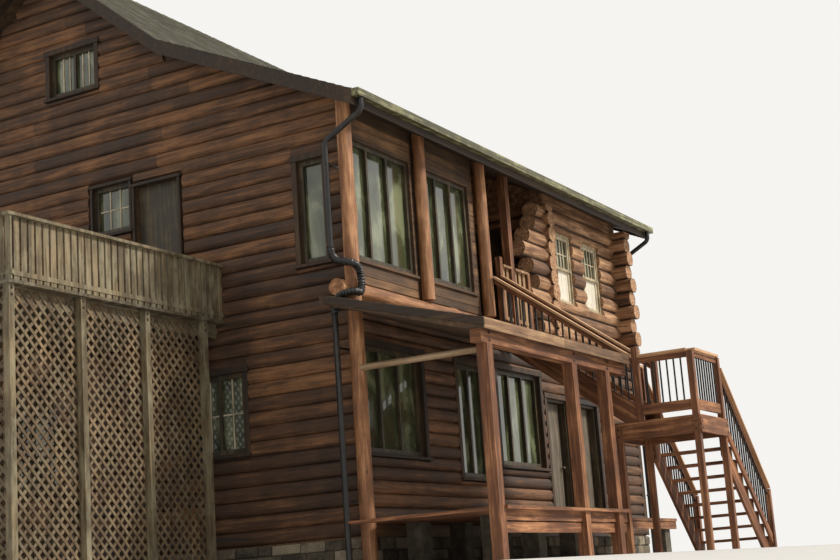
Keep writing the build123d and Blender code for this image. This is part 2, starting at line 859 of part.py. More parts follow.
porch_beam_top = porch_beam_bottom + porch_beam_height
with BuildPart() as porch_beam:
    block(porch_roof_left + 60, porch_roof_right, porch_post_y - porch_post_side / 2,
          porch_post_y + porch_post_side / 2, porch_beam_bottom, porch_beam_top)
finish("porch_beam", porch_beam.part)

# The shed roof rests on the beam's back edge and leans on the wall under the floor's edge
beam_back = porch_post_y + porch_post_side / 2
porch_slope = (porch_roof_high - porch_roof_thickness - porch_beam_top) / (0 - beam_back)


def porch_under(y):
    """Underside of the porch roof over a place y."""
    return porch_beam_top + (y - beam_back) * porch_slope


with BuildPart() as porch_roof:
    front = beam_back
    outline(side_plane(porch_roof_left),
            ((front, porch_under(front)), (0, porch_under(0)),
             (0, porch_under(0) + porch_roof_thickness),
             (porch_roof_reach, porch_under(porch_roof_reach) + porch_roof_thickness),
             (porch_roof_reach, porch_beam_top)),
            porch_roof_right - porch_roof_left)
    with BuildSketch(Plane.XY):
        with Locations(corner_post):
            Circle(post_radius + fit)
        with Locations((spout_x, spout_y)):
            Circle(hose_radius + fit)
    extrude(amount=upper_floor_top, mode=Mode.SUBTRACT)
finish("porch_roof", porch_roof.part)

pole_z = porch_beam_bottom - pole_radius
with BuildPart() as porch_pole:
    pole_front = porch_post_y + porch_post_side / 2 + fit
    pole_back = corner_post[1] - post_radius - fit
    with BuildSketch(front_plane(pole_front)):
        with Locations((porch_post_xs[0] + 60, pole_z)):
            Circle(pole_radius)
    extrude(amount=pole_front - pole_back)
finish("porch_pole", porch_pole.part)

# Upper flight, from the upper floor down towards the front
upper_slope = riser / going
stair_top_y = -fit
nosing_level = upper_floor_top - riser - stair_top_y * upper_slope
landing_edge = stair_top_y - (upper_risers - 1) * going
half_thick = stringer_thickness / 2
post_half = stair_post_side / 2
newel_y = landing_edge - post_half - fit

with BuildPart() as upper_stringers:
    for x in (stair_left_x, stair_right_x):
        band(side_plane(x), landing_edge, stair_top_y,
             nosing_level + stringer_cover, upper_slope, stringer_depth, stringer_thickness)
    block(landing_left, landing_right, landing_front_y, landing_back_y + 200, 0,
          landing_top + fit, Mode.SUBTRACT)
finish("upper_stringers", upper_stringers.part)

with BuildPart() as upper_treads:
    for step in range(1, upper_risers):
        top = upper_floor_top - step * riser
        back = stair_top_y - (step - 1) * going
        block(stair_left_x + half_thick + fit, stair_right_x - half_thick - fit,
              back - going, back - fit, top - tread_thickness, top)
finish("upper_treads", upper_treads.part)


def balusters(plane, s0, s1, low_level, high_level, slope):
    """Upright bars between two sloped boards, evenly spaced from s0 to s1."""
    count = max(1, round(abs(s1 - s0) / baluster_spacing) - 1)
    step = (s1 - s0) / (count + 1)
    with BuildSketch(plane) as profile:
        for i in range(1, count + 1):
            left = s0 + i * step - baluster / 2
            right = left + baluster
            with BuildLine():
                Polyline((left, low_level + slope * left), (right, low_level + slope * right),
                         (right, high_level + slope * right),
                         (left, high_level + slope * left), close=True)
            make_face()
    extrude(profile.sketch, amount=baluster / 2, both=True)


def railing(plane, s0, s1, level, slope, low_gap):
    """A run of railing over a line of feet at level + slope * s, in one piece with its bars."""
    top = level + rail_height
    band(plane, s0, s1, top, slope, cap_thickness, cap_width)
    band(plane, s0, s1, top - cap_thickness, slope, rail_depth, rail_thickness)
    low_top_level = level + low_gap + kick_depth
    band(plane, s0, s1, low_top_level, slope, kick_depth, rail_thickness)
    balusters(plane, s0, s1, low_top_level, top - cap_thickness - rail_depth, slope)


with BuildPart() as upper_stair_rails:
    railing(side_plane(stair_left_x), landing_edge, -slim_post_radius * 2 - 20,
            nosing_level, upper_slope, stringer_cover + fit)
    railing(side_plane(stair_right_x), landing_edge, stair_top_y, nosing_level,
            upper_slope, stringer_cover + fit)
finish("upper_stair_rails", upper_stair_rails.part)

# Landing
landing_floor_bottom = landing_top - landing_board
right_post_centre = landing_right - post_half
half = post_half + fit
newel_places = [(stair_left_x, lower_front_y), (right_post_centre, lower_front_y),
                (right_post_centre, lower_back_y)]
with BuildPart() as landing:
    block(landing_left, landing_right, landing_front_y - 20, landing_back_y + 20,
          landing_floor_bottom, landing_top)
    for x, y in newel_places:
        block(x - half, x + half, y - half, y + half, 0, upper_floor_top, Mode.SUBTRACT)
finish("landing", landing.part)

with BuildPart() as landing_rims:
    z0, z1 = landing_floor_bottom - landing_rim_height, landing_floor_bottom
    inner_left = stair_left_x + post_half + fit
    inner_right = landing_right - stair_post_side - fit
    inner_front = lower_front_y + post_half + fit
    inner_back = lower_back_y - post_half - fit
    block(landing_left, landing_right, landing_front_y - 38, lower_front_y - post_half - fit,
          z0, z1)
    block(landing_left, landing_right, lower_back_y + post_half + fit, landing_back_y + 38,
          z0, z1)
    block(stair_left_x - 19, stair_left_x + 19, inner_front, inner_back, z0, z1)
    block(right_post_centre - 19, right_post_centre + 19, inner_front, inner_back, z0, z1)
finish("landing_rims", landing_rims.part)

rail_top = landing_top + rail_height
lower_slope = -riser / lower_going
lower_top_x = landing_right
lower_nosing = landing_top - riser - lower_top_x * lower_slope
lower_run = (lower_risers - 1) * lower_going
lower_end_x = lower_top_x + lower_run
newel_x = lower_end_x + post_half
newel_top = rail_top - cap_thickness - fit
flight_newel_rise = 120
with BuildPart() as stair_posts:
    for x, y in newel_places:
        block(x - post_half, x + post_half, y - post_half, y + post_half, 0, newel_top)
    block(stair_left_x - post_half, stair_left_x + post_half, lower_back_y - post_half,
          lower_back_y + post_half, 0, landing_floor_bottom)
    for x in (stair_left_x, stair_right_x):
        block(x - post_half, x + post_half, newel_y - post_half, newel_y + post_half,
              landing_top, rail_top + flight_newel_rise)
    for y in (lower_front_y, lower_back_y):
        top = lower_nosing + lower_slope * newel_x + rail_height
        block(newel_x - post_half, newel_x + post_half, y - post_half, y + post_half, 0, top)
finish("stair_posts", stair_posts.part)

with BuildPart() as landing_rails:
    railing(side_plane(stair_left_x), lower_front_y + post_half + fit,
            newel_y - post_half - fit, landing_top, 0, 80)
    railing(front_plane(lower_front_y), stair_left_x + post_half + fit,
            landing_right - stair_post_side - fit, landing_top, 0, 80)
    railing(front_plane(lower_back_y), stair_right_x + post_half + fit,
            landing_right - stair_post_side - fit, landing_top, 0, 80)
finish("landing_rails", landing_rails.part)

# Lower flight, from the landing down to the right
stringer_ys = (lower_front_y + post_half + half_thick + fit,
               lower_back_y - post_half - half_thick - fit)


def saw_tooth():
    """A stringer's outline: steps cut along its top, a straight edge below, a level foot."""
    points = []
    for step in range(1, lower_risers):
        top = landing_top - step * riser - tread_thickness
        left = lower_top_x + (step - 1) * lower_going
        points += [(left, top), (left + lower_going, top)]
    foot_x = lower_end_x
    depth = stringer_depth * 1.15
    points += [(foot_x, 0)]
    reach = depth / cos(radians(45))
    low_x = foot_x - reach * 0.75
    top_left_z = landing_top - riser - tread_thickness
    return points + [(low_x, 0), (lower_top_x, top_left_z - reach * 0.72)]


with BuildPart() as lower_stringers:
    for y in stringer_ys:
        outline(front_plane(y - half_thick), saw_tooth(), -stringer_thickness)
finish("lower_stringers", lower_stringers.part)

with BuildPart() as lower_treads:
    for step in range(1, lower_risers):
        top = landing_top - step * riser
        left = lower_top_x + (step - 1) * lower_going
        block(left + fit, left + lower_going + 25, stringer_ys[0] - half_thick,
              stringer_ys[1] + half_thick, top - tread_thickness + fit, top)
finish("lower_treads", lower_treads.part)

with BuildPart() as lower_stair_rails:
    for y in (lower_front_y, lower_back_y):
        railing(front_plane(y), lower_top_x + fit, newel_x - post_half - fit,
                lower_nosing, lower_slope, 60)
finish("lower_stair_rails", lower_stair_rails.part)

# Guard along the recess beside the stair head, and the post that carries the eave there
entry_post_x = (5060, 5190)
guard_right_x = 5760
guard_y = post_half
with BuildPart() as entry_posts:
    block(*entry_post_x, 0, entry_post_x[1] - entry_post_x[0], upper_floor_top, ridge_top)
    block(guard_right_x - stair_post_side, guard_right_x, 0, stair_post_side,
          upper_floor_top, upper_floor_top + rail_height)
    block(stair_right_x - post_half, stair_right_x + post_half, 0, stair_post_side,
          upper_floor_top, upper_floor_top + rail_height + flight_newel_rise)
    roof_cut()
finish("entry_posts", entry_posts.part)

# Side deck
deck_floor_bottom = deck_top - deck_board
deck_inner = deck_post_side + fit
with BuildPart() as deck_floor:
    block(deck_left - 40, -fit, deck_front_y - 40, deck_back_y + 40, deck_floor_bottom, deck_top)
finish("deck_floor", deck_floor.part)

deck_post_xs = [deck_left + deck_post_side / 2 + i * deck_post_bay for i in range(4)]
deck_post_ys = (deck_front_y + deck_post_side / 2, (deck_front_y + deck_back_y) / 2,
                deck_back_y - deck_post_side / 2)
deck_places = [(x, y) for x in deck_post_xs for y in deck_post_ys
               if y != deck_post_ys[1] or x == deck_post_xs[0]]
with BuildPart() as deck_posts:
    half = deck_post_side / 2
    for x, y in deck_places:
        block(x - half, x + half, y - half, y + half, 0, deck_floor_bottom)
finish("deck_posts", deck_posts.part)

deck_end = deck_post_xs[-1] + deck_post_side / 2
rim_inner_front = deck_front_y + deck_post_side + 2 * slat_thickness + 3 * fit
rim_inner_back = deck_back_y - deck_post_side - 2 * slat_thickness - 3 * fit
with BuildPart() as deck_rims:
    z0, z1 = deck_floor_bottom - deck_rim_height, deck_floor_bottom
    block(deck_left + deck_post_side + 20, -fit, rim_inner_front, rim_inner_front + 40, z0, z1)
    block(deck_left + deck_post_side + 20, -fit, rim_inner_back - 40, rim_inner_back, z0, z1)
    for x in deck_post_xs[1:]:
        block(x - 20, x + 20, rim_inner_front + 41, rim_inner_back - 41, z0, z1)
finish("deck_rims", deck_rims.part)


def lattice(plane, centre, width, base, height):
    """Two layers of slats, square to each other and at 45 degrees to the frame."""
    count = int((width + height) * cos(radians(45)) / slat_pitch / 2) + 1
    length = 2 * (width + height)
    for layer, angle in enumerate((45, -45)):
        shift = (-sin(radians(angle)) * slat_pitch, cos(radians(angle)) * slat_pitch)
        middle = (centre, base + height / 2)
        places = [(middle[0] + i * shift[0], middle[1] + i * shift[1])
                  for i in range(-count, count + 1)]
        with BuildSketch(plane.offset(layer * (slat_thickness + fit))) as profile:
            with Locations(*places):
                Rectangle(length, slat_width, rotation=angle)
            with Locations(middle):
                Rectangle(width, height, mode=Mode.INTERSECT)
        extrude(profile.sketch, amount=slat_thickness)


lattice_height = deck_floor_bottom - 30 - lattice_bottom
lattice_width = deck_end - deck_left
lattice_centre = (deck_end + deck_left) / 2
front_lattice_y = deck_front_y + deck_post_side + 2 * slat_thickness + 2 * fit
with BuildPart() as front_lattice:
    lattice(front_plane(front_lattice_y), lattice_centre, lattice_width, lattice_bottom,
            lattice_height)
finish("front_lattice", front_lattice.part)

with BuildPart() as back_lattice:
    lattice(front_plane(deck_back_y - deck_post_side - fit), lattice_centre, lattice_width,
            lattice_bottom, lattice_height)
finish("back_lattice", back_lattice.part)

side_lattice_width = deck_back_y - deck_front_y - 2 * (deck_post_side + 2 * slat_thickness + 4)
with BuildPart() as side_lattice:
    lattice(side_plane(deck_left + deck_post_side + fit), deck_post_ys[1], side_lattice_width,
            lattice_bottom, lattice_height)
finish("side_lattice", side_lattice.part)


def picket_fence(plane, s0, s1, floor, top):
    """Upright boards between a cap and the floor, in one piece with their bottom rail."""
    count = int((s1 - s0) / picket_spacing)
    pitch = (s1 - s0) / count
    base = floor + fit
    picket_top = top - cap_thickness
    band(plane, s0, s1, top, 0, cap_thickness, cap_width)
    band(plane, s0, s1, base + 2 * picket_rail_height, 0, picket_rail_height, rail_thickness)
    with BuildSketch(plane) as profile:
        for i in range(count):
            with Locations((s0 + (i + 0.5) * pitch, (base + picket_top) / 2)):
                Rectangle(picket_width, picket_top - base)
    extrude(profile.sketch, amount=picket_thickness / 2, both=True)


with BuildPart() as deck_rails:
    for y in (deck_front_y, deck_back_y):
        picket_fence(front_plane(y), deck_left + cap_width / 2 + fit, -fit, deck_top,
                     deck_rail_top)
    picket_fence(side_plane(deck_left), deck_front_y - cap_width / 2,
                 deck_back_y + cap_width / 2, deck_top, deck_rail_top)
finish("deck_rails", deck_rails.part)

guard_top = upper_floor_top + rail_height
guard_spans = ((stair_right_x + post_half + fit, entry_post_x[0] - fit),
               (entry_post_x[1] + fit, guard_right_x - stair_post_side - fit))
with BuildPart() as entry_guard:
    for start, end in guard_spans:
        picket_fence(front_plane(guard_y), start, end, upper_floor_top, guard_top)
finish("entry_guard", entry_guard.part)
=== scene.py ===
"""Looks of the log cabin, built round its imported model. Metres, +Z up, front towards -Y."""

import math
import random

import bmesh
import bpy
from mathutils import Matrix, Vector, noise


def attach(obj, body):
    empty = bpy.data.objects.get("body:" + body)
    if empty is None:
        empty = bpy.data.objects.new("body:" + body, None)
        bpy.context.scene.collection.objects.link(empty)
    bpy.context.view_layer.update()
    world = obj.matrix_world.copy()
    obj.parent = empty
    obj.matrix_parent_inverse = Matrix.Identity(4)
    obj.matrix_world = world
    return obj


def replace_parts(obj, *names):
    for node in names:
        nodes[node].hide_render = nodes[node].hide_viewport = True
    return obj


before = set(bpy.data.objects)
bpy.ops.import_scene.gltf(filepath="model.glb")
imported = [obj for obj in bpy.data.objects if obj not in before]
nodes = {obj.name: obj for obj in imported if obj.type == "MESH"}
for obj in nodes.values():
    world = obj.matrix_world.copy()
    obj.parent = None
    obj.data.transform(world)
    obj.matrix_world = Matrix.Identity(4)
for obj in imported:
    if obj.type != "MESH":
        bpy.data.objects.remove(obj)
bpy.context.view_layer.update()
chance = random.Random(7)

X_AXIS, Y_AXIS, Z_AXIS = 0, 1, 2

# Sizes of the house that the pieces follow
HOUSE_WIDTH, HOUSE_DEPTH, UPPER_FLOOR = 9.9, 9.1, 3.85
EAVE_Y, EAVE_TOP, RIDGE_Y, RIDGE_TOP, BACK_EAVE_Y = -0.5, 6.31, 5.25, 9.894, 9.6
LOW_SLOPE, HIGH_SLOPE = math.tan(math.radians(24.9)), math.tan(math.radians(39.6))
ROOF_LEFT, ROOF_RIGHT, ROOF_THICKNESS = -0.5, 10.2, 0.14
LOG_PITCH, LOG_FRONT_Y, LOG_ENTRY_X, LOG_RIGHT_X = 0.26, 0.15, 6.72, 9.75
LOG_RADIUS, LOG_BASE, LOG_TOP = 0.15, 3.85, 6.188
SUNROOM_RIGHT, RECESS_BACK = 3.83, 1.95
LOW_RISE = ROOF_THICKNESS / math.cos(math.radians(24.9))
HIGH_RISE = ROOF_THICKNESS / math.cos(math.radians(39.6))
FRAME_WIDTH, FRAME_DEPTH, SETBACK = 0.06, 0.11, 0.02
CASING_WIDTH, NARROW_CASING, CASING_DEPTH = 0.085, 0.045, 0.062
EAR, HEAD_OUT, SILL_OUT, SILL_HEIGHT, SLIT = 0.02, 0.012, 0.03, 0.044, 0.002
SIDING_FOOT, SIDING_PITCH, SIDING_BULGE = 0.47, 0.2, 0.058
BOARD_LENGTHS, SHORTEST_BOARD, BUTT_GAP = (2.2, 4.6), 0.7, 0.003
LOG_ROOM_LEFT, LOG_ROOM_BACK = 6.8, 8.0
PORCH_LEFT, PORCH_RIGHT, PORCH_EAVE_Y, PORCH_EAVE_Z, PORCH_WALL_Z = -0.78, 3.9, -2.33, 2.9, 3.54
PORCH_HEAD_Y = -0.06  # where the porch roof's shingles end at the wall

# Openings as left or front edge, right or back edge, sill and head
SUNROOM_WINDOWS = ((0.09, 1.8, 4.2, 5.88), (2.14, 3.63, 4.2, 5.88))
LOG_WINDOWS = ((6.96, 7.7, 4.5, 5.79), (8.19, 8.93, 4.5, 5.79))
LOWER_WINDOWS = ((0.1, 1.7, 1.57, 3.0), (2.78, 3.7, 1.33, 3.0), (4.1, 5.65, 1.56, 3.05))
DOORWAYS = ((5.88, 6.73, 0.65, 2.72), (7.02, 7.97, 0.65, 2.72))
LEFT_WINDOWS = ((0.3, 0.72, 4.2, 5.64), (3.7, 4.4, 5.25, 5.97), (4.3, 5.2, 7.6, 8.28),
                (6.3, 7.2, 4.5, 5.79), (1.8, 2.7, 1.75, 2.85), (5.2, 6.4, 1.57, 2.85))
DECK_DOOR = (2.8, 3.6, 3.85, 5.85)
RIGHT_WINDOWS = ((2.6, 3.34, 4.5, 5.79), (5.8, 6.54, 4.5, 5.79))
RIGHT_LOWER_WINDOWS = ((1.8, 3.0, 1.57, 2.85), (5.6, 6.8, 1.57, 2.85))
GABLE_WINDOW = (4.3, 5.2, 7.6, 8.28)
BACK_WINDOWS = ((1.3, 2.5, 4.5, 5.79), (4.35, 5.55, 4.5, 5.79), (7.3, 8.5, 4.5, 5.79))


# Meshes

ROUND_SIDES = 20  # faces round a pipe or a log
LOG_STEP = 0.12  # along a log, from ring to ring


def axes_across(way):
    """Two directions square to a way and to each other."""
    side = way.cross(Vector((0, 0, 1)) if abs(way.z) < 0.9 else Vector((0, 1, 0)))
    side.normalize()
    return side, side.cross(way)


def circle(centre, radius, side, up, count):
    """Places round a centre."""
    return [centre + radius * (math.cos(t) * side + math.sin(t) * up)
            for t in (2 * math.pi * i / count for i in range(count))]


def added(name, data):
    """A new object in the scene."""
    made = bpy.data.objects.new(name, data)
    bpy.context.scene.collection.objects.link(made)
    return made


class Shape:
    """Closed forms gathered into one mesh, each with a tone of its own."""

    def __init__(self):
        self.points, self.faces, self.tones = [], [], []

    def loft(self, rings, tone=None):
        """A closed form through rings of as many points each."""
        start, count = len(self.points), len(rings[0])
        self.points += [tuple(point) for ring in rings for point in ring]
        faces = [list(range(start, start + count))[::-1]]
        for k in range(len(rings) - 1):
            a, b = start + k * count, start + (k + 1) * count
            faces += [[a + i, a + (i + 1) % count, b + (i + 1) % count, b + i]
                      for i in range(count)]
        last = start + (len(rings) - 1) * count
        faces.append(list(range(last, last + count)))
        self.faces += faces
        self.tones += [chance.random() if tone is None else tone] * len(faces)

    def box(self, low, high):
        """A block between two corners."""
        (x0, y0, z0), (x1, y1, z1) = low, high
        self.loft([[(x0, y0, z), (x1, y0, z), (x1, y1, z), (x0, y1, z)] for z in (z0, z1)])

    def tube(self, centres, directions, radius):
        """A round bar through centres, square to the directions."""
        self.loft([circle(Vector(centre), radius, *axes_across(Vector(way).normalized()),
                          ROUND_SIDES) for centre, way in zip(centres, directions)])

    def timber(self, start, end, radius, seed, taper=0.0, limits=None, wall_from=None):
        """A peeled log with the swells and knots of a real one.

        limits are its lowest and highest level, and from wall_from on it is flat at the wall.
        """
        start, end = Vector(start), Vector(end)
        way = end - start
        length = way.length
        way.normalize()
        side, up = axes_across(way)
        count = max(2, round(length / LOG_STEP))
        rings = []
        for k in range(count + 1):
            share = k / count
            centre = start + way * length * share
            ring = []
            for i in range(ROUND_SIDES):
                t = 2 * math.pi * i / ROUND_SIDES
                spot = Vector((math.cos(t) * 0.8, math.sin(t) * 0.8, length * share * 0.9))
                swell = 0.07 * noise.noise(spot + Vector((seed * 7.3, 0, 0)))
                knot = max(0.0, noise.noise(spot * 2.6 + Vector((0, seed * 3.1, 0))) - 0.42)
                r = radius * (1 - taper * share) * (0.965 + swell + 0.28 * knot)
                point = centre + r * (math.cos(t) * side + math.sin(t) * up)
                if limits:
                    point.z = min(max(point.z, limits[0]), limits[1])
                if wall_from is not None and centre.x > wall_from:
                    point.y = min(point.y, -0.002)
                ring.append(point)
            rings.append(ring)
        self.loft(rings)

    def piece(self, name, material, slot, bevel=0.0, smooth=False):
        """The finished object, riding on the house."""
        mesh = bpy.data.meshes.new(name)
        mesh.from_pydata(self.points, [], self.faces)
        tones = mesh.attributes.new("tone", "FLOAT", "FACE")
        tones.data.foreach_set("value", self.tones)
        work = bmesh.new()
        work.from_mesh(mesh)
        bmesh.ops.recalc_face_normals(work, faces=work.faces)
        work.to_mesh(mesh)
        work.free()
        mesh.materials.append(material)
        made = added(name, mesh)
        if smooth:
            mesh.shade_smooth()
            mesh.set_sharp_from_angle(angle=math.radians(52))
        if bevel:
            rounding = made.modifiers.new("rounding", "BEVEL")
            rounding.width, rounding.segments, rounding.limit_method = bevel, 1, "ANGLE"
        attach(made, "house")
        return made


class Wall:
    """A wall's outer face, measured across it, up it and out from it."""

    def __init__(self, corner, across, out):
        self.corner, self.across, self.out = Vector(corner), Vector(across), Vector(out)

    def at(self, u, z, d):
        return self.corner + self.across * u + Vector((0, 0, z)) + self.out * d

    def block(self, shape, u0, u1, z0, z1, d0, d1, tone=None):
        shape.loft([[self.at(u, z0, d0), self.at(u, z1, d0), self.at(u, z1, d1),
                     self.at(u, z0, d1)] for u in (u0, u1)], tone)


LEFT = Wall((0, 0, 0), (0, 1, 0), (-1, 0, 0))
FRONT = Wall((0, 0, 0), (1, 0, 0), (0, -1, 0))
RIGHT = Wall((HOUSE_WIDTH, 0, 0), (0, 1, 0), (1, 0, 0))
BACK = Wall((0, HOUSE_DEPTH, 0), (1, 0, 0), (0, 1, 0))
RECESS = Wall((0, RECESS_BACK, 0), (1, 0, 0), (0, -1, 0))
SUN_SIDE = Wall((SUNROOM_RIGHT, 0, 0), (0, 1, 0), (1, 0, 0))
RIGHT_GABLE = Wall((9.87, 0, 0), (0, 1, 0), (1, 0, 0))


def roof_reach(z):
    """From where to where along Y the roof's underside is above z."""
    low = EAVE_Y + (z + LOW_RISE - EAVE_TOP) / LOW_SLOPE
    high = RIDGE_Y - (RIDGE_TOP - HIGH_RISE - z) / HIGH_SLOPE
    back = RIDGE_Y + (RIDGE_TOP - HIGH_RISE - z) / HIGH_SLOPE
    return min(low, high), back


HALF_LOG = ((0.0, 0.04), (0.05, 0.44), (0.16, 0.77), (0.32, 0.96), (0.5, 1.0), (0.68, 0.95),
            (0.84, 0.76), (0.95, 0.43), (1.0, 0.04))


def half_log_depth(t):
    """How far a half log stands out at the share t of its height."""
    for (a, p), (b, q) in zip(HALF_LOG, HALF_LOG[1:]):
        if t <= b:
            return p + (q - p) * (t - a) / (b - a)
    return HALF_LOG[-1][1]


def course_piece(shape, wall, u0, u1, z0, z1, course, pitch, gable, tone):
    """One length of a course, between z0 and z1 of it, cut off under the roof on a gable."""
    levels = [z0] + [course + t * pitch for t, _ in HALF_LOG
                     if z0 + 0.004 < course + t * pitch < z1 - 0.004] + [z1]
    ends = []
    for side in (0, 1):
        ring = []
        for z in levels:
            low, high = roof_reach(z) if gable else (-99, 99)
            u = max(u0, low) if side == 0 else min(u1, high)
            ring.append((u, z, SIDING_BULGE * half_log_depth((z - course) / pitch)))
        ends.append(ring)
    if any(b[0] - a[0] < 0.03 for a, b in zip(*ends)):
        return
    rings = []
    for ring in ends:
        outer = [wall.at(u, z, d) for u, z, d in ring]
        inner = [wall.at(ring[-1][0], ring[-1][1], 0), wall.at(ring[0][0], ring[0][1], 0)]
        rings.append(outer + inner)
    shape.loft(rings, tone)


def siding(shape, wall, left, right, bottom, top, openings, pitch, gable):
    """Courses of half logs, cut round the openings and butted at odd places."""
    course = bottom
    while course < top - 0.02:
        end = min(course + pitch, top)
        near = [(u0 - CASING_WIDTH, u1 + CASING_WIDTH, z0 - CASING_WIDTH, z1 + CASING_WIDTH)
                for u0, u1, z0, z1 in openings
                if z0 - CASING_WIDTH < end and z1 + CASING_WIDTH > course
                and u1 + CASING_WIDTH > left and u0 - CASING_WIDTH < right]
        edges = sorted({left, right} | {min(max(u, left), right)
                                        for hole in near for u in hole[:2]})
        runs = []
        for u0, u1 in zip(edges, edges[1:]):
            mid = (u0 + u1) / 2
            spans = [(course, end)]
            for a, b, c, d in near:
                if a < mid < b:
                    spans = [(p, q) for low, high in spans
                             for p, q in ((low, min(high, c)), (max(low, d), high))
                             if q - p > 0.015]
            for span in spans:
                if runs and runs[-1][1] == u0 and runs[-1][2] == span:
                    runs[-1] = (runs[-1][0], u1, span)
                else:
                    runs.append((u0, u1, span))
        for u0, u1, (z0, z1) in runs:
            start = u0
            while start < u1 - 0.01:
                stop = start + chance.uniform(*BOARD_LENGTHS)
                if u1 - stop < SHORTEST_BOARD:
                    stop = u1
                course_piece(shape, wall, start, stop - BUTT_GAP, z0, z1 - 0.002, course,
                             pitch, gable, chance.random())
                start = stop
        course += pitch


def casing(shape, wall, opening, width=CASING_WIDTH, depth=CASING_DEPTH, sill=True):
    """Trim boards round an opening, with a sill."""
    u0, u1, z0, z1 = opening
    tone = chance.random()
    left_edge, right_edge, sill_top = u0 - width, u1 + width, z0 - EAR - SLIT / 2
    boards = [(left_edge, u0 - SLIT, z0 - EAR, z1, depth),
              (u1 + SLIT, right_edge, z0 - EAR, z1, depth),
              (left_edge - EAR, right_edge + EAR, z1 + SLIT / 2, z1 + width, depth + HEAD_OUT)]
    if sill:
        boards.append((left_edge - EAR, right_edge + EAR, sill_top - SILL_HEIGHT, sill_top,
                       depth + SILL_OUT))
    for left, right, low, high, out in boards:
        wall.block(shape, left, right, low, high, 0, out, tone)


# Materials

def colour(red, green, blue):
    """Linear colour of screen values from 0 to 255."""
    return tuple(((c / 255 + 0.055) / 1.055) ** 2.4 for c in (red, green, blue)) + (1.0,)


class Nodes:
    """A node tree and the ways to add to it."""

    def __init__(self, tree):
        self.tree = tree

    def node(self, kind, inputs=None, **settings):
        made = self.tree.nodes.new(kind)
        for key, value in settings.items():
            setattr(made, key, value)
        for key, value in (inputs or {}).items():
            self.put(made.inputs[key], value)
        return made

    def put(self, socket, value):
        if isinstance(value, bpy.types.NodeSocket):
            self.tree.links.new(value, socket)
        else:
            socket.default_value = value

    def math(self, operation, *values):
        return self.node("ShaderNodeMath", dict(enumerate(values)),
                         operation=operation).outputs[0]

    def plus(self, first, second):
        return self.math("ADD", first, second)

    def minus(self, first, second):
        return self.math("SUBTRACT", first, second)

    def times(self, first, second):
        return self.math("MULTIPLY", first, second)

    def weighed(self, first, weight, second, other_weight):
        """The sum of two values by their weights."""
        return self.plus(self.times(first, weight), self.times(second, other_weight))

    def varied(self, value, by, weight):
        """A value moved up and down by another one that lies round a half."""
        return self.plus(value, self.times(self.minus(by, 0.5), weight))


class Paint(Nodes):
    """A material and the nodes that make it."""

    def __init__(self, name):
        self.material = bpy.data.materials.new(name)
        self.material.use_nodes = True
        super().__init__(self.material.node_tree)
        self.shader = self.tree.nodes["Principled BSDF"]
        self.place = self.node("ShaderNodeTexCoord").outputs["Object"]

    def axis(self, index, source=None):
        if source is None:
            source = self.place
        return self.node("ShaderNodeSeparateXYZ", {0: source}).outputs[index]

    def facing(self, along):
        """1 on faces that look along an axis, and 0 elsewhere."""
        normal = self.node("ShaderNodeNewGeometry").outputs["True Normal"]
        return self.math("GREATER_THAN", self.math("ABSOLUTE", self.axis(along, normal)), 0.8)

    def stretched(self, scale):
        return self.node("ShaderNodeVectorMath", {0: self.place, 1: scale},
                         operation="MULTIPLY").outputs[0]

    def drawn_out(self, across, down, along, turned=None):
        """The place squeezed across an axis, or across the other level one where turned."""
        squeeze = [across] * 3
        squeeze[along] = down
        found = self.stretched(squeeze)
        if turned is None:
            return found
        other = [across] * 3
        other[1 - along] = down
        return self.node("ShaderNodeMix", {0: turned, 4: found, 5: self.stretched(other)},
                         data_type="VECTOR").outputs[1]

    def noise(self, vector, scale, detail=4.0, roughness=0.55, distortion=0.0):
        return self.node("ShaderNodeTexNoise",
                         {"Vector": vector, "Scale": scale, "Detail": detail,
                          "Roughness": roughness, "Distortion": distortion}).outputs[0]

    def tone(self):
        return self.node("ShaderNodeAttribute", attribute_name="tone").outputs["Fac"]

    def ramp(self, value, places, shades, smooth=False):
        made = self.node("ShaderNodeValToRGB", {"Fac": value})
        band = made.color_ramp
        band.interpolation = "EASE" if smooth else "LINEAR"
        while len(band.elements) < len(places):
            band.elements.new(0.5)
        for element, place, shade in zip(band.elements, places, shades):
            element.position = place
            element.color = shade
        return made.outputs[0]

    def shades(self, value, places, tones, smooth=False):
        """A ramp through screen colours."""
        return self.ramp(value, places, [colour(*tone) for tone in tones], smooth)

    def levels(self, value, places, greys, smooth=False):
        """A ramp through linear greys."""
        return self.ramp(value, places, [(grey, grey, grey, 1.0) for grey in greys], smooth)

    def mix(self, share, first, second):
        return self.node("ShaderNodeMix", {0: share, 6: first, 7: second},
                         data_type="RGBA").outputs[2]

    def stain(self, share, weight, base, tone):
        """A screen colour laid over a base by a weighed share."""
        return self.mix(self.times(share, weight), base, colour(*tone))

    def bump(self, height, strength, distance):
        normal = self.node("ShaderNodeBump", {"Height": height, "Strength": strength,
                                              "Distance": distance}).outputs[0]
        self.put(self.shader.inputs["Normal"], normal)

    def done(self, base, rough):
        self.put(self.shader.inputs["Base Color"], base)
        self.put(self.shader.inputs["Roughness"], rough)
        return self.material


# Above this height the rails get a painted highlight.
RAIL_CAP = 0.92  # height of the cap's underside over the nosings
WOOD_PLACES = (0.3, 0.5, 0.68)


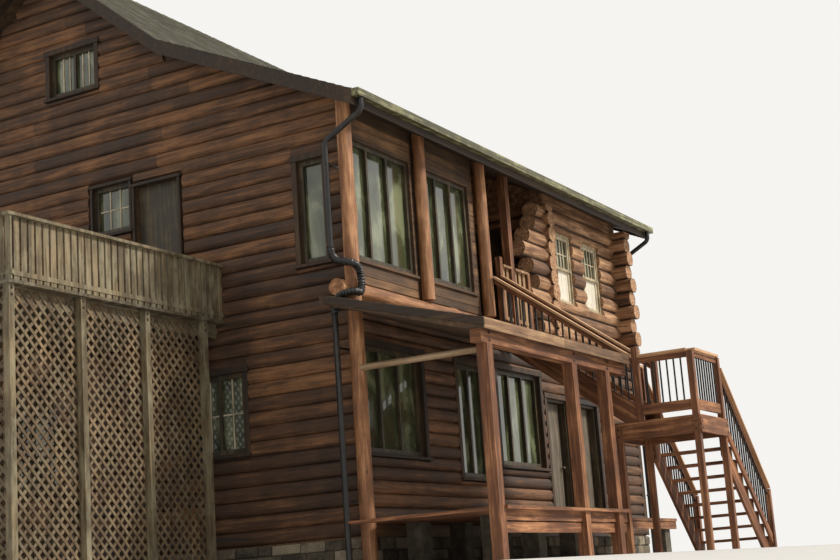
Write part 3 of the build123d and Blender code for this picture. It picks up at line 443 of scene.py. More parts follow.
def wood(name, tones, along, stretch=15.0, rough=0.72, knots=0.6, grey=None, pieces=False,
         courses=None, bars=None, slope=0.0, turned=False):
    """Wood with its grain along an axis, in a dark, a middle and a light tone.

    pieces gives each board a tone of its own, and courses each log of a wall, from the wall's
    middle and its lowest log's level, with painted shade where the logs meet. slope tilts the
    grain, turned lays it along the other level axis on faces across it, and bars are black
    between two heights over a line at the slope: (level, low, high), with a painted highlight
    on the rail above the cap's underside.
    """
    paint = Paint(name)
    if slope:
        level = paint.minus(paint.axis(2), paint.times(paint.axis(along), slope))
        paint.place = paint.node("ShaderNodeCombineXYZ", {
            0: paint.axis(0), 1: paint.axis(1), 2: level}).outputs[0]
    across = paint.facing(along) if turned else None
    grain = paint.noise(paint.drawn_out(stretch, 1.0, along, across), 1.1, 6.0, 0.62, 0.4)
    fibre = paint.noise(paint.drawn_out(130.0, 3.0, along, across), 1.0, 3.0, 0.7)
    blotch = paint.noise(paint.place, 1.3, 4.0, 0.6)
    value = paint.varied(paint.weighed(grain, 0.62, blotch, 0.38), fibre, 0.28)
    if pieces:
        value = paint.varied(value, paint.tone(), 0.17)
    if courses:
        rows = paint.math("DIVIDE", paint.minus(paint.axis(2), courses[1]), LOG_PITCH)
        of_row = paint.node("ShaderNodeTexWhiteNoise", {"W": paint.math("FLOOR", rows)},
                            noise_dimensions="1D").outputs[0]
        value = paint.varied(value, of_row, 0.17)
    base = paint.shades(value, WOOD_PLACES, tones)
    if grey:
        worn = paint.noise(paint.drawn_out(6.0, 2.2, along), 1.0, 5.0, 0.65)
        base = paint.stain(paint.levels(worn, (0.46, 0.66), (0, 1)), 0.7, base, grey)
    if knots:
        cells = paint.node("ShaderNodeTexVoronoi",
                           {"Vector": paint.drawn_out(2.6, 1.0, along), "Scale": 2.4})
        spot = paint.levels(cells.outputs["Distance"], (0.03, 0.11), (1, 0), True)
        base = paint.stain(spot, knots, base, [int(c * 0.5) for c in tones[0]])
    if courses:
        # Painted shade: each log darkens towards the joints with the logs above and below it.
        edge = paint.math("ABSOLUTE", paint.minus(paint.math("FRACT", rows), 0.5))
        seam_shade = paint.levels(edge, (0.36, 0.48), (0, 1), True)
        base = paint.stain(seam_shade, 0.85, base, (26, 18, 12))
    height = paint.weighed(grain, 0.7, fibre, 0.35)
    if courses:
        base, height = log_ends(paint, base, height, along, *courses)
    if bars:
        level, low, high = bars
        rise = paint.minus(paint.axis(2), level)
        inside = paint.times(paint.math("GREATER_THAN", rise, low),
                             paint.math("LESS_THAN", rise, high))
        black = paint.shades(fibre, (0.35, 0.7), ((20, 16, 13), (48, 39, 32)))
        base = paint.mix(inside, base, black)
        # Painted highlight: from the cap's underside up, the rail is paler, as where the sun lights
        # the cap.
        cap_highlight = paint.shades(value, WOOD_PLACES,
                                ((128, 88, 58), (196, 152, 112), (236, 206, 172)))
        base = paint.mix(paint.math("GREATER_THAN", rise, RAIL_CAP), base, cap_highlight)
    paint.bump(height, 0.5, 0.012)
    return paint.done(base, paint.levels(value, (0.2, 0.8), (rough - 0.12, rough + 0.12)))


def log_ends(paint, base, height, along, centre, level):
    """Rings and checks on the sawn ends of logs that are stacked a pitch apart."""
    across = paint.minus(paint.axis(1 - along), centre)
    in_row = paint.math("FLOORED_MODULO", paint.minus(paint.axis(2), level), LOG_PITCH)
    up = paint.minus(in_row, LOG_PITCH / 2)
    flat = paint.node("ShaderNodeCombineXYZ", {0: across, 1: up}).outputs[0]
    radius = paint.node("ShaderNodeVectorMath", {0: flat}, operation="LENGTH").outputs[1]
    turn = paint.math("ARCTAN2", up, across)
    wobble = paint.noise(paint.place, 9.0, 2.0)
    rings = paint.math("SINE", paint.weighed(radius, 620.0, wobble, 22.0))
    shade = paint.shades(paint.plus(paint.times(rings, 0.12), paint.noise(paint.place, 26.0)),
                         (0.3, 0.52, 0.72), ((112, 76, 48), (176, 130, 92), (222, 182, 142)))
    spoke = paint.noise(paint.node("ShaderNodeCombineXYZ", {
        0: paint.times(turn, 3.2), 1: paint.times(radius, 5.0),
        2: paint.times(paint.axis(2), 0.9)}).outputs[0], 2.6, 2.0)
    check = paint.levels(spoke, (0.655, 0.675), (0, 1))
    shade = paint.mix(check, shade, colour(34, 22, 14))
    heart = paint.levels(radius, (0.0, 0.016), (1, 0))
    shade = paint.stain(heart, 0.7, shade, (70, 44, 26))
    rim = paint.levels(radius, (0.128, 0.147), (0, 1))
    shade = paint.stain(rim, 0.75, shade, (70, 46, 30))
    sawn = paint.facing(along)
    height = paint.mix(sawn, height, paint.minus(paint.times(rings, 0.15), check))
    return paint.mix(sawn, base, shade), height


def stone(name, tones, scale, pieces=False):
    """Rough stone or mortar, in which pieces gives each stone a tone of its own."""
    paint = Paint(name)
    value = paint.weighed(paint.noise(paint.place, scale, 8.0, 0.65), 0.75,
                          paint.noise(paint.place, scale * 9, 5.0, 0.7), 0.25)
    if pieces:
        value = paint.varied(value, paint.tone(), 0.4)
    paint.bump(paint.noise(paint.place, scale * 4, 8.0, 0.7), 0.7, 0.02)
    return paint.done(paint.shades(value, (0.3, 0.5, 0.7), tones), 0.92)


def shingle_paint(name, tones, moss):
    """Worn shingles with grit and a little moss."""
    paint = Paint(name)
    grit = paint.noise(paint.place, 160.0, 3.0, 0.8)
    worn = paint.noise(paint.stretched([1.0, 0.5, 0.5]), 2.2, 5.0, 0.6)
    value = paint.plus(paint.weighed(grit, 0.35, worn, 0.34),
                       paint.math("MULTIPLY_ADD", paint.tone(), 0.12, 0.09))
    green = paint.levels(paint.noise(paint.place, 0.9, 8.0, 0.72), (0.5, 0.72), (0, 1))
    base = paint.stain(green, 0.38, paint.shades(value, WOOD_PLACES, tones), moss)
    paint.bump(grit, 0.6, 0.004)
    return paint.done(base, 0.9)


def painted(name, shade, worn, rough, metallic=0.0, along=Z_AXIS, wear=0.65, low=0.36,
            patch=0.62, log_room=None):
    """A painted or coated surface with dirt that runs down it, of another shade in the log room."""
    paint = Paint(name)
    streak = paint.noise(paint.drawn_out(26.0, 1.2, along), 1.0, 6.0, 0.6)
    dirt = paint.noise(paint.place, 5.0, 8.0, 0.6)
    value = paint.weighed(streak, wear, dirt, 1 - wear)
    places = (low, 0.5, patch)
    base = paint.shades(value, places, ([int(c * 0.72) for c in shade], shade, worn))
    if log_room:
        inside = paint.times(paint.math("GREATER_THAN", paint.axis(0), LOG_ROOM_LEFT),
                             paint.math("LESS_THAN", paint.axis(1), LOG_ROOM_BACK))
        pale = paint.shades(value, places,
                            ([int(c * 0.6) for c in log_room], log_room, (206, 190, 158)))
        base = paint.mix(inside, base, pale)
    paint.put(paint.shader.inputs["Metallic"], metallic)
    paint.bump(value, 0.2, 0.004)
    return paint.done(base, paint.levels(value, (0.3, 0.7), (rough - 0.1, rough + 0.15)))


def glass_paint(name):
    """Old window glass, dark, with a painted green-grey reflection in soft patches and a clear
    gloss.
    """
    paint = Paint(name)
    # Painted reflection: soft green-grey patches laid into the glass's own colour.
    painted_reflection = paint.noise(paint.drawn_out(2.6, 1.1, Z_AXIS), 1.0, 7.0, 0.55, 0.6)
    base = paint.shades(painted_reflection, (0.34, 0.5, 0.66), ((40, 44, 29), (72, 77, 51), (128, 134, 102)),
                        True)
    paint.put(paint.shader.inputs["IOR"], 1.5)
    paint.put(paint.shader.inputs["Coat Weight"], 1.0)
    paint.put(paint.shader.inputs["Coat Roughness"], 0.02)
    paint.bump(paint.noise(paint.place, 3.0, 2.0), 0.06, 0.01)
    return paint.done(base, 0.12)


def dress(material, *names):
    """A material on CAD nodes, in place of their own."""
    for name in names:
        slots = nodes[name].data.materials
        slots.clear()
        slots.append(material)


SIDING_TONES = ((37, 25, 17), (80, 54, 35), (142, 100, 66))
LOG_TONES = ((54, 35, 23), (132, 94, 64), (212, 168, 127))
CEDAR_TONES = ((50, 30, 18), (116, 72, 44), (200, 144, 99))
FASCIA_TONES = ((64, 46, 31), (132, 99, 70), (196, 160, 122))
PLANK_TONES = ((50, 37, 26), (104, 80, 57), (160, 130, 98))
PEELED_TONES = ((66, 41, 25), (142, 95, 60), (220, 166, 120))
DECK_TONES = ((46, 39, 27), (98, 85, 62), (156, 138, 106))
BOARD_TONES = ((48, 33, 21), (96, 70, 46), (150, 112, 76))
TRIM_TONES = ((22, 15, 10), (48, 34, 22), (86, 64, 42))
CROSS_BASE = LOG_BASE - LOG_PITCH / 2  # the side walls' logs lie half a pitch lower

# Rise of both stair flights along their axis, the landing's top and the top of the black bars
UPPER_RISE, LOWER_RISE, LANDING_TOP, BARS_TOP = 0.192 / 0.263, -0.96, 1.93, 0.843

siding_x = wood("siding_x", SIDING_TONES, X_AXIS, pieces=True)
siding_y = wood("siding_y", SIDING_TONES, Y_AXIS, pieces=True)
board_x = wood("board_x", BOARD_TONES, X_AXIS, pieces=True, knots=0.4)
trim_z = wood("trim_z", TRIM_TONES, Z_AXIS, knots=0.2, pieces=True)
cedar_plank_x = wood("cedar_plank_x", PLANK_TONES, X_AXIS, pieces=True, grey=(112, 98, 82))
cedar_plank_y = wood("cedar_plank_y", PLANK_TONES, Y_AXIS, pieces=True, grey=(112, 98, 82))
peeled_z = wood("peeled_z", PEELED_TONES, Z_AXIS, stretch=11.0, knots=0.8, rough=0.6)
peeled_x = wood("peeled_x", PEELED_TONES, X_AXIS, stretch=11.0, knots=0.8, rough=0.6)
logs_entry = wood("logs_entry", LOG_TONES, Y_AXIS, courses=(LOG_ENTRY_X, CROSS_BASE))
black_pipe = painted("black_pipe", (20, 19, 18), (52, 49, 44), 0.4)
cream_paint = painted("cream_paint", (196, 182, 152), (226, 214, 190), 0.5)
shade_cloth = painted("shade_cloth", (226, 218, 199), (244, 239, 228), 0.3, low=0.2,
                      patch=0.7)
roof_shingle = shingle_paint("roof_shingle", ((50, 48, 38), (82, 79, 65), (122, 118, 101)),
                             (78, 79, 48))
porch_shingle = shingle_paint("porch_shingle", ((46, 40, 30), (86, 76, 58), (128, 114, 90)),
                              (84, 84, 46))
field_stone = stone("field_stone", ((58, 52, 44), (108, 98, 82), (160, 148, 126)), 4.0,
                    pieces=True)
hinge_steel = painted("hinge_steel", (70, 64, 58), (120, 96, 74), 0.4, metallic=0.9)
deck_y = wood("deck_y", DECK_TONES, Y_AXIS, pieces=True, grey=(132, 124, 104))

dress(hinge_steel, "door_hinges")
dress(deck_y, "deck_floor")
dress(stone("mortar", ((58, 54, 46), (92, 86, 74), (128, 121, 106)), 6.0),
      "foundation", "porch_piers")
dress(wood("sheathing", ((40, 28, 18), (74, 54, 36), (110, 84, 58)), X_AXIS, knots=0.3),
      "lower_front_wall", "lower_left_wall", "lower_right_wall", "lower_back_wall",
      "upper_left_wall", "upper_back_wall", "recess_back_wall", "right_gable",
      "sunroom_front_wall", "sunroom_side_wall", "front_low_roof", "front_high_roof",
      "back_roof", "porch_roof")
dress(wood("floor_x", ((60, 40, 24), (112, 80, 50), (160, 120, 80)), X_AXIS, rough=0.45),
      "lower_floor", "upper_floor")
dress(wood("logs_x", LOG_TONES, X_AXIS, courses=(LOG_FRONT_Y, LOG_BASE)), "log_front_wall")
dress(wood("logs_right", LOG_TONES, Y_AXIS, courses=(LOG_RIGHT_X, CROSS_BASE)),
      "log_right_wall")
dress(wood("plate_wood", LOG_TONES, X_AXIS), "log_wall_plate")
dress(wood("pole_y", ((70, 54, 38), (138, 112, 84), (196, 170, 138)), Y_AXIS, knots=0.7),
      "porch_pole")
dress(wood("cedar_x", CEDAR_TONES, X_AXIS, turned=True),
      "porch_beam", "porch_rims", "landing", "landing_rims", "upper_treads")
dress(wood("cedar_y", CEDAR_TONES, Y_AXIS, turned=True), "porch_floor", "lower_treads")
dress(wood("cedar_z", CEDAR_TONES, Z_AXIS), "porch_posts", "entry_posts", "stair_posts")
dress(wood("upper_rail_wood", CEDAR_TONES, Y_AXIS, slope=UPPER_RISE,
           bars=(3.658, 0.2558, BARS_TOP)), "upper_stair_rails")
dress(wood("landing_rail_wood", CEDAR_TONES, X_AXIS, turned=True,
           bars=(LANDING_TOP, 0.2304, BARS_TOP)), "landing_rails")
dress(wood("lower_rail_wood", CEDAR_TONES, X_AXIS, slope=LOWER_RISE,
           bars=(1.738 - LOWER_RISE * 5.1303, 0.2104, BARS_TOP)), "lower_stair_rails")
dress(wood("upper_string_wood", CEDAR_TONES, Y_AXIS, slope=UPPER_RISE), "upper_stringers")
dress(wood("lower_string_wood", CEDAR_TONES, X_AXIS, slope=LOWER_RISE), "lower_stringers")
dress(wood("guard_wood", ((92, 66, 44), (156, 120, 84), (214, 184, 148)), Z_AXIS),
      "entry_guard")
dress(wood("trim_x", TRIM_TONES, X_AXIS, knots=0.2), "fascia_boards")
dress(wood("deck_x", DECK_TONES, X_AXIS, turned=True, grey=(132, 124, 104)), "deck_rims")
dress(wood("deck_z", DECK_TONES, Z_AXIS, grey=(150, 142, 116)), "deck_posts", "deck_rails")
dress(wood("lattice_wood", ((46, 36, 24), (94, 76, 53), (156, 132, 99)), Z_AXIS,
           stretch=5.0, knots=0.3, grey=(126, 114, 90)),
      "front_lattice", "side_lattice", "back_lattice")
dress(painted("gutter_paint", (84, 80, 52), (150, 148, 108), 0.5, along=X_AXIS),
      "front_gutter")
FRAME_SHADE, FRAME_WORN = (56, 48, 33), (98, 84, 58)
dress(painted("frame_paint", FRAME_SHADE, FRAME_WORN, 0.5),
      "lower_window_frames", "door_frames", "upper_doors")
dress(painted("upper_frame_paint", FRAME_SHADE, FRAME_WORN, 0.5, log_room=(168, 150, 118)),
      "upper_window_frames")
dress(painted("door_grey", (104, 94, 80), (150, 137, 118), 0.55, wear=0.85, low=0.3,
              patch=0.72), "left_door", "right_door")
dress(glass_paint("window_glass"), "upper_glass", "lower_glass")


# Half-log siding, boards and trim

def clad(name, wall, material, *regions, pitch=SIDING_PITCH, gable=False):
    """Siding on a wall's regions, each left, right, bottom, top and openings."""
    shape = Shape()
    for region in regions:
        siding(shape, wall, *region, pitch, gable)
    shape.piece(name, material, "log_siding", smooth=True)


clad("siding_left", LEFT, siding_y,
     (0.0, HOUSE_DEPTH, SIDING_FOOT, 9.7, (*LEFT_WINDOWS, DECK_DOOR)), gable=True)
clad("siding_front", FRONT, siding_x,
     (0.04, HOUSE_WIDTH, 0.66, 3.565, (*LOWER_WINDOWS, *DOORWAYS)),
     (8.22, HOUSE_WIDTH, SIDING_FOOT, 0.658, ()), pitch=0.18)
clad("siding_right", RIGHT, siding_y,
     (0.0, HOUSE_DEPTH, SIDING_FOOT, 3.84, RIGHT_LOWER_WINDOWS))
clad("siding_back", BACK, siding_x, (0.0, 9.6, SIDING_FOOT, 6.55, BACK_WINDOWS))
clad("siding_gable", RIGHT_GABLE, siding_y,
     (0.3, HOUSE_DEPTH, 6.2, 9.7, (GABLE_WINDOW,)), gable=True)
clad("siding_recess", RECESS, siding_x,
     (SUNROOM_RIGHT + 0.045, 6.56, UPPER_FLOOR + 0.01, 7.2, ()))
clad("siding_sunroom", SUN_SIDE, siding_y,
     (0.18, RECESS_BACK - 0.045, UPPER_FLOOR + 0.01, 7.2, ()), gable=True)

boards = Shape()
board_levels = (3.85, 3.97, 4.18, 4.39, 4.6, 4.81, 5.02, 5.23, 5.44, 5.65, 5.86, 6.07, 6.2)
board_thick = 0.018
for (u0, u1), (left, right, sill, head) in zip(((0.04, 1.865), (2.085, 3.815)),
                                               SUNROOM_WINDOWS):
    low, high = sill - 0.055, head + 0.055
    for z0, z1 in zip(board_levels, board_levels[1:]):
        spans = [(u0, u1)]
        if z1 > low and z0 < high:
            if z0 < low:
                FRONT.block(boards, u0, u1, z0, low, 0, board_thick)
                z0 = low
            if z1 > high:
                FRONT.block(boards, u0, u1, high, z1, 0, board_thick)
                z1 = high
            spans = [(u0, left - 0.05), (right + 0.05, u1)]
        for a, b in spans:
            if b - a > 0.02 and z1 - z0 > 0.01:
                FRONT.block(boards, a, b, z0 + 0.003, z1 - 0.003, 0, board_thick)
boards.piece("sunroom_boards", board_x, "sunroom_boards", bevel=0.004)

sun_trim = Shape()
for opening in SUNROOM_WINDOWS:
    casing(sun_trim, FRONT, opening, 0.05, 0.024)
sun_trim.piece("sunroom_casings", board_x, "brown_trim", bevel=0.003)
trim = Shape()
for wall, openings, with_sill in (
        (FRONT, LOWER_WINDOWS, True), (FRONT, DOORWAYS, False), (LEFT, LEFT_WINDOWS, True),
        (LEFT, (DECK_DOOR,), False), (RIGHT, RIGHT_LOWER_WINDOWS, True),
        (BACK, BACK_WINDOWS, True), (RIGHT_GABLE, (GABLE_WINDOW,), True)):
    for opening in openings:
        narrow = opening in (DECK_DOOR, LEFT_WINDOWS[1])
        casing(trim, wall, opening, NARROW_CASING if narrow else CASING_WIDTH, sill=with_sill)
trim.piece("casings", trim_z, "brown_trim", bevel=0.004)

# Two boards at each corner, as the corner, the ways out from the house and the top
CORNER_LAP, CORNER_OUT = 0.1, 0.052
corners = Shape()
for x, y, way_x, way_y, top in ((HOUSE_WIDTH, 0.0, 1, -1, 3.56),
                                (HOUSE_WIDTH, HOUSE_DEPTH, 1, 1, 3.84),
                                (0.0, HOUSE_DEPTH, -1, 1, 6.5)):
    out_x, out_y = x + CORNER_OUT * way_x, y + CORNER_OUT * way_y
    for over_x, over_y in (((x - CORNER_LAP * way_x, out_x), (y, out_y)),
                           ((x, out_x), (y - CORNER_LAP * way_y, y))):
        (x0, x1), (y0, y1) = sorted(over_x), sorted(over_y)
        corners.box((x0, y0, SIDING_FOOT), (x1, y1, top))
corners.piece("corner_boards", trim_z, "brown_trim", bevel=0.004)


# Peeled round posts, and the logs of the entry wall

POST_PLACE, RIM_LOG_Y, RIM_LOG_Z, RIM_LOG_RADIUS = (-0.16, -0.15), -0.055, 3.697, 0.118
roof_under = EAVE_TOP - EAVE_Y * LOW_SLOPE - LOW_RISE  # at the front wall
posts = Shape()
for seed, (x, y, radius, foot) in enumerate(((*POST_PLACE, 0.108, RIM_LOG_Z),
                                             (1.975, -0.105, 0.1, 3.83),
                                             (3.925, -0.105, 0.1, 3.83))):
    posts.timber((x, y, foot), (x, y, roof_under + y * LOW_SLOPE + 0.03), radius, seed,
                 taper=0.04)
posts.timber((*POST_PLACE, 0.0), (*POST_PLACE, RIM_LOG_Z), 0.104, 5)
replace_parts(posts.piece("peeled_posts", peeled_z, "peeled_cedar", smooth=True),
            "round_posts")

rim_logs = Shape()
for start, end, seed in ((-0.43, 3.92, 21), (4.8, HOUSE_WIDTH, 22)):
    rim_logs.timber((start, RIM_LOG_Y, RIM_LOG_Z), (end, RIM_LOG_Y, RIM_LOG_Z),
                    RIM_LOG_RADIUS, seed, wall_from=-0.07)
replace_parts(rim_logs.piece("rim_half_logs", peeled_x, "peeled_cedar", smooth=True),
            "rim_logs")

# The upper door leaves the logs of the entry wall open from side to side, up to its head
door_front, door_back, door_head = 0.68, 1.62, 5.935
full = (LOG_BASE + 0.002, LOG_TOP)
entry_logs = Shape()
for row in range(10):
    z = LOG_BASE + row * LOG_PITCH
    tail = -0.03 - chance.uniform(0.0, 0.05)
    spans = [(tail, door_front, full), (door_back, RECESS_BACK, full)]
    if row == 8:
        spans.insert(1, (door_front, door_back, (door_head, LOG_TOP)))
    elif row == 9:
        spans = [(tail, RECESS_BACK, full)]
    for y0, y1, limits in spans:
        entry_logs.timber((LOG_ENTRY_X, y0, z), (LOG_ENTRY_X, y1, z), LOG_RADIUS, row + 11,
                          limits=limits)
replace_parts(entry_logs.piece("entry_logs", logs_entry, "round_logs", smooth=True),
            "log_entry_wall")


# Bars and sashes in the windows

BAR_WIDTH, STILE, MEETING = 0.02, 0.042, 0.02  # MEETING is half the sashes' overlap
LOWER_SASH, UPPER_SASH, BLIND = 0.028, 0.04, 0.004  # how far they stand out
LOG_GLASS = -0.06  # middle of the frames behind the log walls' outer faces


def bars(shape, wall, u0, u1, z0, z1, columns, rows, depth):
    """Glazing bars that part a pane into columns and rows, in front of its glass."""
    for i in range(1, columns):
        u = u0 + (u1 - u0) * i / columns
        wall.block(shape, u - BAR_WIDTH / 2, u + BAR_WIDTH / 2, z0, z1, depth,
                   depth + BAR_WIDTH)
    for j in range(1, rows):
        z = z0 + (z1 - z0) * j / rows
        wall.block(shape, u0, u1, z - BAR_WIDTH / 2, z + BAR_WIDTH / 2, depth,
                   depth + BAR_WIDTH * 0.9)


def double_hung(wall, opening):
    """Two sashes in a frame, the upper one with small panes, and a blind behind them."""
    u0, u1, z0, z1 = opening
    a, b, c, d = (u0 + FRAME_WIDTH, u1 - FRAME_WIDTH, z0 + FRAME_WIDTH, z1 - FRAME_WIDTH)
    middle = (c + d) / 2
    glass = LOG_GLASS - FRAME_DEPTH / 2 + 0.001
    for low, high, out in ((c, middle + MEETING, LOWER_SASH),
                           (middle - MEETING, d, UPPER_SASH)):
        for u, v, low_z, high_z in ((a, a + STILE, low, high), (b - STILE, b, low, high),
                                    (a + STILE, b - STILE, low, low + STILE),
                                    (a + STILE, b - STILE, high - STILE, high)):
            wall.block(sashes, u, v, low_z, high_z, glass, glass + out)
    bars(sashes, wall, a + STILE, b - STILE, middle + MEETING, d - STILE, 4, 2, glass)
    wall.block(blinds, a + STILE, b - STILE, c + STILE, middle + MEETING - STILE, glass,
               glass + BLIND)


sashes, blinds = Shape(), Shape()
for opening in LOG_WINDOWS:
    double_hung(FRONT, opening)
for opening in RIGHT_WINDOWS:
    double_hung(Wall((LOG_RIGHT_X + LOG_RADIUS, 0, 0), (0, 1, 0), (1, 0, 0)), opening)
sashes.piece("log_window_sashes", cream_paint, "window_paint", bevel=0.003)
blinds.piece("log_window_blinds", shade_cloth, "window_paint")

# Windows by wall, opening, columns and rows of panes
muntins = Shape()
for wall, (u0, u1, z0, z1), columns, rows in (
        (LEFT, LEFT_WINDOWS[1], 3, 2), (LEFT, LEFT_WINDOWS[2], 6, 1),
        (LEFT, LEFT_WINDOWS[3], 3, 3), (LEFT, LEFT_WINDOWS[4], 4, 2),
        (LEFT, LEFT_WINDOWS[5], 4, 2), (RIGHT_GABLE, GABLE_WINDOW, 6, 1),
        *((RIGHT, opening, 4, 2) for opening in RIGHT_LOWER_WINDOWS),
        *((BACK, opening, 4, 3) for opening in BACK_WINDOWS)):
    bars(muntins, wall, u0 + FRAME_WIDTH, u1 - FRAME_WIDTH, z0 + FRAME_WIDTH,
         z1 - FRAME_WIDTH, columns, rows, -SETBACK - FRAME_DEPTH / 2 + 0.001)
muntins.piece("window_bars", cream_paint, "window_paint", bevel=0.002)


# Shingles

# What shows of a course, a tab's width, its thick end, and how far it runs under the next
EXPOSURE, TAB, BUTT, LAP = 0.14, 0.3, 0.009, 0.03


def shingles(name, material, slot, x0, x1, y0, z0, y1, z1):
    """Courses of shingles up a slope from (y0, z0) to (y1, z1)."""
    length = math.hypot(y1 - y0, z1 - z0)
    up = Vector((0, (y1 - y0) / length, (z1 - z0) / length))
    out = Vector((0, -up.z, up.y)) if up.y > 0 else Vector((0, up.z, -up.y))
    count = max(1, round(length / EXPOSURE))
    step = length / count
    shape = Shape()
    for row in range(count):
        s0 = row * step
        s1 = min(s0 + step + LAP, length)
        shift = (row % 2) * TAB / 2 + chance.uniform(-0.03, 0.03)
        edges = [x0]
        x = x0 + TAB - shift
        while x < x1 - 0.08:
            edges.append(x + chance.uniform(-0.012, 0.012))
            x += TAB
        edges.append(x1)
        for a, b in zip(edges, edges[1:]):
            lip = chance.uniform(-0.004, 0.004) if row else 0.0
            rise = BUTT + chance.uniform(0, 0.003)
            rings = []
            for s, high in ((s0 + lip, rise), (s1, 0.0012)):
                base = Vector((0, y0, z0)) + up * s
                rings.append([Vector((x_end, 0, 0)) + base + out * height
                              for x_end, height in ((a + 0.003, 0.0), (b - 0.003, 0.0),
                                                    (b - 0.003, high), (a + 0.003, high))])
            shape.loft(rings)
    shape.piece(name, material, slot)


break_y = ((EAVE_TOP - EAVE_Y * LOW_SLOPE) - (RIDGE_TOP - RIDGE_Y * HIGH_SLOPE)) / (
    HIGH_SLOPE - LOW_SLOPE)
break_z = EAVE_TOP + (break_y - EAVE_Y) * LOW_SLOPE
back_eave_z = RIDGE_TOP - (BACK_EAVE_Y - RIDGE_Y) * HIGH_SLOPE
for name, low, high in (("shingles_low", (EAVE_Y, EAVE_TOP), (break_y, break_z)),
                        ("shingles_high", (break_y, break_z), (RIDGE_Y, RIDGE_TOP)),
                        ("shingles_back", (BACK_EAVE_Y, back_eave_z), (RIDGE_Y, RIDGE_TOP))):
    shingles(name, roof_shingle, "shingles", ROOF_LEFT, ROOF_RIGHT, *low, *high)
CAP_HALF, CAP_SKIN, CAP_LENGTH, CAP_EXPOSURE, CAP_BUTT, CAP_HEAD = (
    0.14, 0.002, 0.3, 0.24, 0.022, 0.014)
caps = Shape()
x = ROOF_LEFT
while x < ROOF_RIGHT - 0.05:
    caps.loft([[(cap_x, RIDGE_Y + across, RIDGE_TOP - abs(across) * HIGH_SLOPE + up)
                for across, up in ((-CAP_HALF, CAP_SKIN), (0, CAP_SKIN), (CAP_HALF, CAP_SKIN),
                                   (CAP_HALF, lift), (0, lift), (-CAP_HALF, lift))]
               for cap_x, lift in ((x, CAP_BUTT), (min(x + CAP_LENGTH, ROOF_RIGHT), CAP_HEAD))])
    x += CAP_EXPOSURE
caps.piece("ridge_caps", roof_shingle, "shingles")
shingles("shingles_porch", porch_shingle, "porch_shingles", PORCH_LEFT, PORCH_RIGHT,
         PORCH_EAVE_Y, PORCH_EAVE_Z, PORCH_HEAD_Y,
         PORCH_WALL_Z - PORCH_HEAD_Y * (PORCH_WALL_Z - PORCH_EAVE_Z) / PORCH_EAVE_Y)


# Planks of the floors

PLANK_WIDTH, PLANK_GAP = 0.14, 0.006


def planks(name, material, slot, axis, thick, *beds):
    """Boards side by side along an axis, in beds from x to x and y to y at a level."""
    shape = Shape()
    for x0, x1, y0, y1, z in beds:
        low, high = (y0, y1) if axis == X_AXIS else (x0, x1)
        count = max(1, round((high - low) / PLANK_WIDTH))
        step = (high - low) / count
        for i in range(count):
            a, b = low + i * step + PLANK_GAP / 2, low + (i + 1) * step - PLANK_GAP / 2
            if axis == X_AXIS:
                shape.box((x0, a, z), (x1, b, z + thick))
            else:
                shape.box((a, y0, z), (b, y1, z + thick))
    shape.piece(name, material, slot, bevel=0.002)


planks("porch_planks", cedar_plank_y, "cedar", Y_AXIS, 0.005, (-0.45, 3.56, -2.3, -0.37, 0.65),
       (0.05, 3.56, -0.364, -0.05, 0.65), (3.56, 8.2, -1.25, -0.05, 0.65))
planks("deck_planks", deck_y, "weathered_wood", Y_AXIS, 0.006, (-4.0, -0.06, 2.21, 4.44, 3.6))
planks("landing_planks", cedar_plank_x, "cedar", X_AXIS, 0.006,
       (4.0, 5.03, -3.2, -2.11, LANDING_TOP))


# Stones of the foundation

STONE_DEPTH, MORTAR_OUT, STONE_TOP = 0.035, 0.03, 0.45
STONE_HEIGHTS, LEAST_HEIGHT = (0.12, 0.19), 0.07
STONE_WIDTHS, LEAST_WIDTH = (0.18, 0.46), 0.16
ROUGH = 0.006  # how far a stone's corners stray


def stones(shape, wall, right, top):
    """Rows of rough stones on a face, from its foot and its left edge."""
    z = 0.0
    while z < top - 0.03:
        height = min(chance.uniform(*STONE_HEIGHTS), top - z)
        if top - z - height < LEAST_HEIGHT:
            height = top - z
        u = 0.0
        while u < right - 0.02:
            width = chance.uniform(*STONE_WIDTHS)
            if right - u - width < LEAST_WIDTH:
                width = right - u
            rings = []
            for d in (0.0, STONE_DEPTH * 0.7, STONE_DEPTH + chance.uniform(-0.008, 0.012)):
                out = MORTAR_OUT + d
                inset = 0.008 + (0.02 if d > STONE_DEPTH * 0.75 else 0.0)
                sway = [chance.uniform(-ROUGH, ROUGH) for _ in range(12)]
                rings.append([wall.at(u + along, z + up, out) for along, up in (
                    (inset + sway[0], inset + sway[1]), (width / 2, inset * 0.6 + sway[2]),
                    (width - inset + sway[3], inset + sway[4]),
                    (width - inset * 0.7, height / 2 + sway[5]),
                    (width - inset + sway[6], height - inset),
                    (width / 2 + sway[7], height - inset * 0.6),
                    (inset + sway[8], height - inset + sway[9]),
                    (inset * 0.7, height / 2 + sway[10]))])
            shape.loft(rings)
            u += width
        z += height


rubble = Shape()
for wall, end in ((FRONT, HOUSE_WIDTH), (LEFT, HOUSE_DEPTH), (RIGHT, HOUSE_DEPTH),
                  (BACK, HOUSE_WIDTH)):
    stones(rubble, wall, end, STONE_TOP)
rubble.piece("foundation_stones", field_stone, "masonry", bevel=0.008)


# Downspouts, and the ridged black hose that carries the water round the corner post

def along_route(points, bend, step):
    """Centres and directions along a route with round corners."""
    corners = [Vector(point) for point in points]
    found = [(corners[0], (corners[1] - corners[0]).normalized())]
    for before, corner, after in zip(corners, corners[1:], corners[2:]):
        into, away = (corner - before).normalized(), (after - corner).normalized()
        turn = into.angle(away)
        radius = bend / math.tan(turn / 2)
        inward = (away - into * away.dot(into)).normalized()
        centre = corner - into * bend + inward * radius
        count = max(3, round(radius * turn / step))
        for i in range(count + 1):
            t = turn * i / count
            found.append((centre - inward * radius * math.cos(t) + into * radius * math.sin(t),
                          into * math.cos(t) + inward * math.sin(t)))
    found.append((corners[-1], (corners[-1] - corners[-2]).normalized()))
    return found


